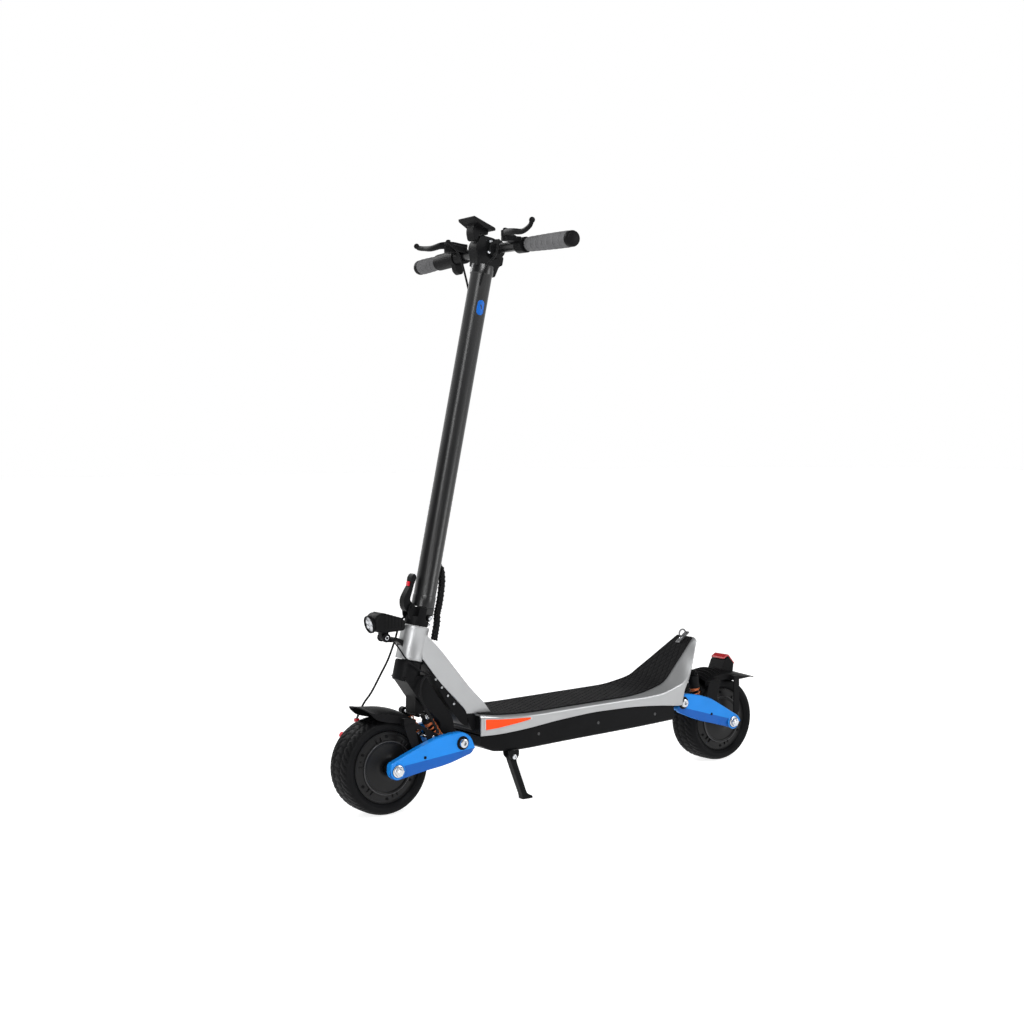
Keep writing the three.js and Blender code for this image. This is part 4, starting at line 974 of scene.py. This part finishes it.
neck = neck_box()
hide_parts("neck_beam")
NECK_FOOT = [[264.6, 191.5], [264.6, 157, 2], [273, 156.5, 4], [285.5, 191.5]]
prism("neck_foot", NECK_FOOT, -37.5, 37.5, BLACK, "chassis", bevel=1.0, taper=neck_taper)
UNDER_COVER = [
    [390, 320.6], [391.6, 319.2], [372, 291, 6], [357, 262, 12], [340, 232, 14], [311, 190, 10],
    [297, 173, 8], [282, 166, 2], [284.5, 191], [288.6, 203.6, 8], [348.6, 267.4, 20],
]
prism("neck_under_cover", UNDER_COVER, -36.5, 36.5, BLACK, "chassis", bevel=0.4, taper=neck_taper)
for number in range(4):
    t = 0.1 + 0.22 * number
    x, z = mix(366, 300, t), mix(284, 198, t)
    for spot, outwards in both_sides(x, 36.5 * neck_taper(x), z):
        bolt(spot, outwards, 2.6, 1.2, "chassis", BRUSHED, name="neck_cover_screw")
HEAD = [
    (24.2, 327.5), (28.6, 327.5), (30, 328.6), (30, 334), (29.6, 335), (29.6, 392.6), (30, 393.6),
    (30, 399.6), (28.8, 401), (24.2, 401), (24.2, 327.5),
]
revolve("head_tube", HEAD, STEER_FOOT, STEER_AXIS, SILVER, "chassis")


# ---- Fork ----

FORK_NECK = [
    [438, 286, 2], [420, 262, 10], [399, 232, 14], [347, 183, 12], [347, 156, 8], [337, 141, 3],
    [316, 141, 3], [310, 152, 4], [316, 190, 14], [362, 250, 16], [384, 286, 2],
]
fork_neck = prism("fork_neck", FORK_NECK, -27, 27, BLACK, "steering", bevel=3.2, segments=4)
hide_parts("fork")
COLLAR = [
    (0, 281), (25, 281), (28, 283), (29, 286), (29, 321), (28, 324.5), (26, 326), (15, 326.3), (15, 401),
    (0, 401),
]
revolve("fork_collar", COLLAR, STEER_FOOT, STEER_AXIS, BLACK, "steering")
BOSS = [(6.3, -61.6), (12, -61.6), (13, -60.6), (13, 60.6), (12, 61.6), (6.3, 61.6), (6.3, -61.6)]
revolve("fork_pivot_boss", BOSS, FRONT_PIVOT, SIDE, BLACK, "steering", sides=48)
TOP_LUG = [
    [FRONT_SHOCK_TOP.x + 8, FRONT_SHOCK_TOP.z + 42, 2], [FRONT_SHOCK_TOP.x + 9, FRONT_SHOCK_TOP.z, 7],
    [FRONT_SHOCK_TOP.x, FRONT_SHOCK_TOP.z - 8.5, 6], [FRONT_SHOCK_TOP.x - 9, FRONT_SHOCK_TOP.z, 7],
    [FRONT_SHOCK_TOP.x - 20, FRONT_SHOCK_TOP.z + 22, 2],
]
prism("fork_shock_lug", TOP_LUG, -20, 20, BLACK, "steering", bevel=1.5)


# ---- Stem ----

STEM_RAKE = math.radians(12.34)
STEM_AXIS = Vector((-math.sin(STEM_RAKE), 0, math.cos(STEM_RAKE)))
STEM_ACROSS = Vector((math.cos(STEM_RAKE), 0, math.sin(STEM_RAKE)))
STEM_FOOT = Vector((371.4, 0, 440))


def raked(corners, foot, across, up):
    """Outline [x, z, radius] given in a raked frame, in the scooter's own coordinates."""
    placed = []
    for x, z, *radius in corners:
        p = foot + across * x + up * z
        placed.append([p.x, p.z, *radius])
    return placed


def stem_outline(corners):
    """Outline given in the frame of the stem."""
    return raked(corners, STEM_FOOT, STEM_ACROSS, STEM_AXIS)


STEM_PROFILE = [
    (0, -11), (24.2, -11), (24.8, -10.2), (24.8, 13), (24.2, 14), (23.9, 14.6), (23.9, 722), (24.2, 722.6),
    (25.4, 724), (25.4, 742), (24.6, 744), (23, 745), (0, 745),
]
stem_body = revolve("stem_tube_long", STEM_PROFILE, STEM_FOOT, STEM_AXIS, STEM_BLACK, "stem", sides=96)
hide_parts("stem_tube")
EAR = [[-26, 446, 1], [-26, 420, 8], [-16, 412, 8], [-7, 418, 6], [-6, 446, 1]]
ear = raked(EAR, STEER_FOOT, STEER_ACROSS, STEER_AXIS)
for side, label in ((1, "left"), (-1, "right")):
    prism(f"stem_ear_{label}", ear, 11.5 * side, 19.6 * side, STEM_BLACK, "stem", bevel=0.8)
for spot, outwards in both_sides(FOLD_PIN.x, 26, FOLD_PIN.z):
    bolt(spot, outwards, 5.2, 3, "steering", name="fold_pin_head")
for spot, outwards in both_sides(FOLD_PIN.x + 3, 26, FOLD_PIN.z - 13):
    bolt(spot, outwards, 3.2, 2, "steering", name="fold_base_bolt")
STEM_HEAD = [
    [-24, 738, 2], [-34, 759, 8], [-32, 798, 10], [-8, 807, 8], [27, 805, 6], [37, 777, 10], [26, 752, 8],
    [24, 738, 2],
]
prism("stem_head", stem_outline(STEM_HEAD), -17, 17, BLACK, "stem", bevel=4.0, segments=4)
CLAMP = [
    (11.3, -27.5), (19.5, -27.5), (21, -26), (21, -3), (20.2, -2.2), (20.2, 2.2), (21, 3), (21, 26),
    (19.5, 27.5), (11.3, 27.5), (11.3, -27.5),
]
revolve("bar_clamp", CLAMP, (BAR.x, 0, BAR.z), SIDE, BLACK, "stem", sides=64)
for side in (1, -1):
    for rise in (-12, 12):
        seat = Vector((BAR.x, 22 * side, BAR.z)) + STEM_ACROSS * 17 + STEM_AXIS * rise
        bolt(seat, STEM_ACROSS, 4.2, 4.5, "stem", name="clamp_bolt")
HOOK = [[-20, 722, 2], [-31, 727, 3], [-37, 752, 4], [-45, 757, 3], [-45, 774, 3], [-30, 786, 2]]
prism("stem_hook", stem_outline(HOOK), -7.6, 7.6, BLACK, "stem", bevel=1.2)

# Plain blue badge, an oval plate that follows the round stem.
BADGE_RADIUS = 24
badge_seat = STEM_FOOT + STEM_AXIS * 648
BADGE_SIDE = (STEM_ACROSS * 0.09 + SIDE * 0.99).normalized()
badge = bmesh.new()
badge_rings = []
for depth, scale in ((-1.2, 1.0), (0.35, 1.0), (0.6, 0.9)):
    ring = []
    for i in range(40):
        angle = 2 * math.pi * i / 40
        across = 8.5 * math.cos(angle) * scale
        rise = (8.5 * math.sin(angle) + (8 if math.sin(angle) > 0 else -8)) * scale
        turn = math.atan2(BADGE_SIDE.y, BADGE_SIDE.dot(STEM_ACROSS)) + across / BADGE_RADIUS
        out = STEM_ACROSS * math.cos(turn) + SIDE * math.sin(turn)
        ring.append(badge_seat + out * (BADGE_RADIUS + depth) + STEM_AXIS * rise)
    badge_rings.append(ring)
ring_skin(badge, badge_rings)
add_piece("stem_badge", badge, BADGE_BLUE_AND_PAINTED_SHADE, "stem", sharp=40)


# ---- Handlebar ----

DROOP = math.radians(2.05)
CENTRE_HALF = 50


def bar_point(side, x, y, z):
    """Point given in the frame of one half of the bar, with y outwards along it."""
    out = y * math.cos(DROOP) + z * math.sin(DROOP) + CENTRE_HALF
    return Vector((BAR.x + x, side * out, BAR.z - y * math.sin(DROOP) + z * math.cos(DROOP)))


def bar_axis(side):
    """Direction of one half of the bar, drooping outwards."""
    return Vector((0, side * math.cos(DROOP), -math.sin(DROOP)))


bar_path = [bar_point(-1, 0, 246, 0), bar_point(-1, 0, 4, 0), bar_point(-1, 0, -6, 0)]
bar_path += [bar_point(1, 0, -6, 0), bar_point(1, 0, 4, 0), bar_point(1, 0, 246, 0)]
bar_mesh = sweep_into(bmesh.new(), bar_path, 10.9, 40)
bar_tube = add_piece("handlebar_tube", bar_mesh, STEM_BLACK, "stem", sharp=40)
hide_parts("handlebar")


def grip(side, label, start):
    """Grey ringed grip that swells towards its outer end, with a black end cap."""
    origin = bar_point(side, 0, 0, 0)
    stop = 235
    profile = [(11.4, start), (14.4, start), (15.2, start + 1)]
    rings = round((stop - start) / 21)
    ring_shape = ((0.0, 2.2), (0.07, 0.9), (0.2, 0.2), (0.5, 0.0), (0.8, 0.2), (0.93, 0.9), (1.0, 2.2))
    for i in range(rings):
        for u, sink in ring_shape:
            t = (i + u) / rings
            swell = 15.8 + 1.7 * math.sin(min(t * 1.15, 1) * math.pi / 2)
            profile.append((swell - sink, mix(start + 2, stop, t)))
    profile += [(16.2, stop + 0.4), (11.4, stop + 0.4), (11.4, start)]
    made = revolve(f"grip_rings_{label}", profile, origin, bar_axis(side), GRIP, "stem", sides=64, sharp=60)
    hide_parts(f"grip_{label}")
    cap = [(0, stop + 0.4), (16.4, stop + 0.4), (16.9, stop + 2), (16.9, 245), (15.6, 248.5), (12.5, 250.6)]
    cap.append((0, 251))
    revolve(f"grip_end_{label}", cap, origin, bar_axis(side), PLASTIC, "stem", sides=64)


grip(1, "left", 95)
grip(-1, "right", 160)


def brake_lever(side, label, y, tip):
    """Curved lever with a ball at its end, its pivot head and the mount on the bar."""
    pivot = y + 5
    path = [
        (44, pivot + 6, 22), (50, pivot + 20, 22.6), (54, pivot + 50, 21), (53, pivot + 80, tip[0]),
        (53, pivot + 105, tip[1]), (54, pivot + 115, tip[2]),
    ]
    points = [bar_point(side, *p) for p in path]

    def thickness(t):
        return mix(8.4, 5.6, min(t * 1.6, 1))

    body = f"brake_lever_{label}"
    blade = sweep(f"lever_blade_{label}", points, thickness, BLACK, body, sides=18, count=70, squash=0.72,
                  up=(0, 0, 1))
    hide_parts(f"brake_lever_{label}")
    turns = [-1.2, -0.8, -0.4, 0, 0.4, 0.8, 1.2]
    mount_points = ((6, y - 14, 13), (20, y - 9, 16), (32, y - 3, 20), (40, pivot - 3, 22))
    mount = [bar_point(side, *p) for p in mount_points]
    sweep(f"lever_mount_{label}", mount, lambda t: mix(10.5, 7.6, t), BLACK, "stem", sides=20, count=24,
          up=(0, 0, 1))
    ball = [(0, -6.4), *[(6.4 * math.cos(a), 6.4 * math.sin(a)) for a in turns], (0, 6.4)]
    revolve(f"lever_ball_{label}", ball, points[-1] - (points[-1] - points[-2]).normalized() * 1.2,
            points[-1] - points[-2], BLACK, body, sides=32, sharp=60)
    axis = Vector((0, side * math.sin(DROOP), math.cos(DROOP)))
    head = [(0, -6.2), (8.2, -6.2), (9, -5.4), (9, 5.4), (8.2, 6.2), (0, 6.2)]
    centre = bar_point(side, 41, pivot, 22.6)
    revolve(f"lever_head_{label}", head, centre, axis, BLACK, body, sides=40)


brake_lever(1, "left", 58, (19, 28, 40))
brake_lever(-1, "right", 52, (25, 30, 36))


# ---- Display ----

PLATE = [[255.5, 1269.5, 3], [199, 1247, 3], [199, 1240.5, 3], [226, 1244.5, 8], [255.5, 1263, 3]]
display = prism("display_housing", PLATE, -30.5, 30.5, PLASTIC, "stem", bevel=1.6, segments=3)
NECK_OF_DISPLAY = [
    [243, 1257, 2], [247, 1238, 6], [243, 1221, 3], [237, 1219.5, 1], [227, 1235, 1], [208, 1233, 2],
    [206, 1243, 2],
]
prism("display_neck", NECK_OF_DISPLAY, -14.5, 14.5, PLASTIC, "stem", bevel=1.2)
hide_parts("display")
SCREEN = [[250, 1268.0, 1], [214, 1253.7, 1], [214, 1252.9, 0], [250, 1267.2, 0]]
prism("display_screen", SCREEN, -25, 25, GLASS, "stem", bevel=0.0)


# ---- Headlight ----

LAMP_SIDE = [
    [430, 385, 6], [428, 404, 8], [437, 412, 6], [480, 425, 12], [494, 423.5, 6], [502.6, 412.5, 5],
    [499, 387, 6], [484, 382.5, 8],
]
lamp_centre = Vector((468, 403))
outline = rounded(LAMP_SIDE, 7)
lamp_rings = []
LAMP_EDGE = ((-24, 5.5), (-22.6, 2.4), (-19.5, 0.5), (-15, 0), (15, 0), (19.5, 0.5), (22.6, 2.4), (24, 5.5))
for y, inset in LAMP_EDGE:
    drawn_in = [p - (p - lamp_centre).normalized() * inset for p in outline]
    lamp_rings.append([(q.x, y, q.y) for q in drawn_in])
lamp_body = add_piece("headlight_shell", ring_skin(bmesh.new(), lamp_rings), PLASTIC, "headlight", sharp=40)
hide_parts("headlight")
for number in range(6):
    x = 438 + 8 * number
    z = mix(411.5, 424, (x - 438) / 42) if x < 480 else 424
    fin = [[x, 392, 1], [x + 3, 392, 1], [x + 3, z + 1.4, 1], [x, z + 1.2, 1]]
    prism(f"headlight_fin_{number}", fin, -24.6, 24.6, PLASTIC, "headlight", bevel=0.5)
lens_axis = Vector((0.975, 0, -0.22))
lens_up = Vector((0.22, 0, 0.975))
lens_seat = Vector((500.4, 0, 402))
RIM = [(13, 1), (18.5, 1), (19.5, 4), (18.8, 8), (17, 8), (16, 4.6), (13, 4), (13, 1)]
LENS_DISC = [(0, 5.6), (8, 5.4), (16.2, 4.8), (16.2, 3), (0, 3)]
for name, profile, finish in (("headlight_rim", RIM, BLACK), ("headlight_lens", LENS_DISC, LENS)):
    revolve(name, profile, lens_seat - lens_axis * 1.5, lens_axis, finish, "headlight", sides=64)
for number, (across, rise) in enumerate(((7.5, 5), (-7.5, 5), (7.5, -5.5), (-7.5, -5.5))):
    seat = lens_seat + lens_axis * 4 + SIDE * across + lens_up * rise
    dome = [(0, 2.4), (2.4, 2.1), (4.6, 0.9), (5, 0), (0, 0)]
    revolve(f"headlight_led_{number}", dome, seat, lens_axis, STEEL, "headlight", sides=32)
LAMP_LUG = [[463, 385, 1], [462, 369, 6], [471, 363.5, 6], [479, 369, 6], [480, 384, 1]]
prism("headlight_lug", LAMP_LUG, -7.8, 7.8, PLASTIC, "headlight", bevel=0.8)
for spot, outwards in both_sides(LAMP_PIVOT.x, 12, LAMP_PIVOT.z):
    bolt(spot, outwards, 4.6, 2, "chassis", name="lamp_bracket_bolt")


# ---- Catch ring ----

ring_centre = Vector((-368, 0, 317))
ring_across = Vector((0.97, 0, -0.25))
ring_up = Vector((0.25, 0, 0.97)) * 0.96
ring_points = [
    polar(ring_centre, ring_across, ring_up, 10, math.radians(-60 + 290 * i / 24)) for i in range(25)
]
ring_body = sweep_into(bmesh.new(), spline(ring_points, 72), 1.9, 16, up=(0, 1, 0))
catch = add_piece("catch_ring_wire", ring_body, WIRE, "chassis", sharp=60)
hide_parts("catch_ring")
RING_FOOT = [[-352, 295, 1], [-352, 298.5, 1], [-384, 321, 1], [-384, 317.5, 1]]
prism("catch_ring_foot", RING_FOOT, -7, 7, WIRE, "chassis", bevel=0.8)
bolt((-364, 0, 306), Vector((0.57, 0, 0.82)), 4.4, 3, "chassis", name="catch_screw")


# ---- Cables ----

LOWER_BUNDLE = [(345, 0, 356), (342, 0, 372), (338, 0, 392), (337, 0, 413)]
UPPER_BUNDLE = [(337, 0, 413), (332, 0, 430), (327, 0, 456), (324, 0, 485), (326, 0, 510), (345, 0, 530)]


def wrapped(name, points, node, count, turns, aside):
    """Cable bundle in a spiral wrap, set aside along Y except at the stem's cable hole."""
    points = [(x, aside if z < 500 else aside * 0.5, z) for x, y, z in points]
    path = spline(points, count)
    bm = sweep_into(bmesh.new(), path, 4.2, 14)
    steps = turns * 14
    helix = []
    for i in range(steps + 1):
        t = i / steps * count
        k = min(int(t), count - 1)
        point = path[k].lerp(path[k + 1], t - k)
        tangent = (path[k + 1] - path[k]).normalized()
        across = tangent.cross(SIDE).normalized()
        angle = 2 * math.pi * turns * i / steps
        helix.append(polar(point, SIDE, across, 4.3, angle))
    sweep_into(bm, helix, 1.5, 8, squash=0.7)
    made = add_piece(name, bm, RUBBER, None, sharp=60)
    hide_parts(node)
    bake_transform(made)


for number, aside in enumerate((-5.2, 5.2)):
    wrapped(f"bundle_lower_{number}", LOWER_BUNDLE, "stem_cable_lower", 24, 7, aside)
    wrapped(f"bundle_upper_{number}", UPPER_BUNDLE, "stem_cable_upper", 60, 14, aside)

brake_route = [
    (396, -27, 415), (412, -31, 395), (424, -32, 359), (440, -33, 320), (456, -36, 290), (476, -44, 250),
    (492, -50, 226), (509, -50, 196),
]
brake_line = sweep("front_brake_line", brake_route, 2.2, RUBBER, None, count=90)
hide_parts("front_brake_cable")
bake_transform(brake_line)
motor_route = [
    (377, 32, 287), (392, 34, 283), (403, 37, 267), (408, 44, 246), (405, 55, 225), (397, 64, 205),
    (388, 68, 186), (380, 70, 168),
]
motor_line = sweep("front_motor_lead", motor_route, 2.9, RUBBER, None, sides=18, count=90)
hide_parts("motor_cable")
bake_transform(motor_line)

lamp_route = [
    (472, 6, 384), (466, 10, 376), (448, 20, 352), (431, 30, 323), (404, 33, 301), (381, 31.5, 289),
    (372, 28, 283),
]
lamp_wire = sweep("lamp_lead", lamp_route, 1.7, RUBBER, None, count=70)
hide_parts("motor_cable")
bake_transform(lamp_wire)

bar_routes = {
    "left": [
        (236, 96, 1212), (232, 84, 1192), (226, 66, 1180), (228, 46, 1168), (232, 26, 1140), (236, 6, 1082),
    ],
    "right": [
        (240, -98, 1222), (252, -84, 1226), (246, -66, 1214), (236, -54, 1190), (231, -42, 1150),
        (234, -20, 1105), (236, -5, 1080),
    ],
}
for label, route in bar_routes.items():
    line = sweep(f"bar_cable_{label}", route, 2.3, RUBBER, "stem", count=80)
    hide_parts("handlebar_cables")


# ---- CAD pieces that keep their own shape ----

KEPT = {
    "battery_pack": BATTERY, "motor_controller": CASTING, "headset_bearing_lower": STEEL,
    "headset_bearing_upper": STEEL, "kickstand": BLACK, "headlight_bracket": BLACK, "fold_base": BLACK,
    "latch_lever": BLACK, "latch_button": RED, "front_caliper": BLACK, "rear_caliper": BLACK,
    "brake_perch_left": BLACK, "throttle_housing": PLASTIC,
    "thumb_throttle": PLASTIC, "display_button": PLASTIC,
}
BEVELLED = {
    "kickstand": 1.2, "fold_base": 0.6, "latch_lever": 1.2, "front_caliper": 1.5, "rear_caliper": 1.5,
    "brake_perch_left": 0.8, "throttle_housing": 0.8, "thumb_throttle": 0.8,
}
for name, finish in KEPT.items():
    node = frame["nodes"][name]
    node.data.materials.clear()
    node.data.materials.append(finish)
    weld = node.modifiers.new("weld", "WELD")
    weld.merge_threshold = 0.00001
    if name in BEVELLED:
        edge = node.modifiers.new("bevel", "BEVEL")
        edge.width = BEVELLED[name] * MM
        edge.segments = 2
        edge.limit_method = "ANGLE"
        edge.angle_limit = math.radians(40)
        normals = node.modifiers.new("normals", "WEIGHTED_NORMAL")
        normals.keep_sharp = False


# ---- Studio ----


def stage_piece(name, vertices, faces, finish):
    """Mesh of the studio, which is no part of the scooter."""
    mesh = bpy.data.meshes.new(name)
    mesh.from_pydata(vertices, [], faces)
    mesh.materials.append(finish)
    made = bpy.data.objects.new(name, mesh)
    bpy.context.scene.collection.objects.link(made)


FLOOR = material("studio_floor", (0.55, 0.55, 0.55), 0.7, variation=0.01, bump=0.0)
floor_shader = FLOOR.node_tree.nodes["Principled BSDF"]
floor_shader.inputs["Emission Color"].default_value = (1, 1, 1, 1)
floor_shader.inputs["Emission Strength"].default_value = 0.82
FLOOR_CORNERS = [(x, y, -0.0005) for x, y in ((-40, -40), (40, -40), (40, 40), (-40, 40))]
stage_piece("floor", FLOOR_CORNERS, [(0, 1, 2, 3)], FLOOR)

# White at the far horizon, grey overhead and in front, so that dark glossy pieces keep their contrast.
world = bpy.data.worlds.new("studio")
bpy.context.scene.world = world
world.use_nodes = True
sky = world.node_tree
direction = sky.nodes.new("ShaderNodeTexCoord")
parts = sky.nodes.new("ShaderNodeSeparateXYZ")
shade = sky.nodes.new("ShaderNodeValToRGB")
shade.color_ramp.elements[0].position = 0.34
shade.color_ramp.elements[0].color = (1, 1, 1, 1)
shade.color_ramp.elements[1].position = 0.62
shade.color_ramp.elements[1].color = (0.12, 0.12, 0.12, 1)
sky.links.new(direction.outputs["Generated"], parts.inputs["Vector"])
facing = sky.nodes.new("ShaderNodeVectorMath")
facing.operation = "DOT_PRODUCT"
facing.inputs[1].default_value = (0.6, 0.8, 0.0)
ahead = sky.nodes.new("ShaderNodeMath")
ahead.operation = "MAXIMUM"
ahead.inputs[1].default_value = 0.0
total = sky.nodes.new("ShaderNodeMath")
total.operation = "MULTIPLY_ADD"
total.inputs[1].default_value = 0.5
sky.links.new(direction.outputs["Generated"], facing.inputs[0])
sky.links.new(facing.outputs["Value"], ahead.inputs[0])
sky.links.new(ahead.outputs["Value"], total.inputs[0])
sky.links.new(parts.outputs["Z"], total.inputs[2])
sky.links.new(total.outputs["Value"], shade.inputs["Fac"])
sky.links.new(shade.outputs["Color"], sky.nodes["Background"].inputs["Color"])
sky.nodes["Background"].inputs["Strength"].default_value = 1.0


def area_light(name, place, aim, size, power, height=None):
    """Soft lamp at a place, turned towards its aim."""
    data = bpy.data.lights.new(name, "AREA")
    data.size = size
    if height:
        data.shape = "RECTANGLE"
        data.size_y = height
    data.energy = power
    made = bpy.data.objects.new(name, data)
    made.location = place
    made.rotation_euler = (Vector(aim) - Vector(place)).to_track_quat("-Z", "Y").to_euler()
    bpy.context.scene.collection.objects.link(made)


CENTRE = (0.0, 0.0, 0.5)
area_light("key", (1.2, 2.4, 3.4), CENTRE, 1.6, 110)
area_light("side", (-2.2, 2.6, 1.6), CENTRE, 1.2, 30)
area_light("rim", (0.5, -3.0, 2.4), CENTRE, 1.6, 40)
area_light("strip", (2.7, 1.9, 1.0), (0.2, 0, 0.7), 0.7, 42, 2.4)

camera_data = bpy.data.cameras.new("camera")
camera_data.lens = 52.68
camera_data.sensor_width = 36
camera = bpy.data.objects.new("camera", camera_data)
bpy.context.scene.collection.objects.link(camera)
eye = Vector((2.06185, 2.72856, 0.76862))
target = Vector((0.1359, -0.0023, 0.6265))
forward = (target - eye).normalized()
right = forward.cross(Vector((0, 0, 1))).normalized()
up = right.cross(forward)
roll = math.radians(-0.28)
right, up = right * math.cos(roll) + up * math.sin(roll), up * math.cos(roll) - right * math.sin(roll)
camera.matrix_world = Matrix((
    (right.x, up.x, -forward.x, eye.x),
    (right.y, up.y, -forward.y, eye.y),
    (right.z, up.z, -forward.z, eye.z),
    (0, 0, 0, 1),
))
bpy.context.scene.camera = camera
bpy.context.scene.view_settings.view_transform = "Standard"
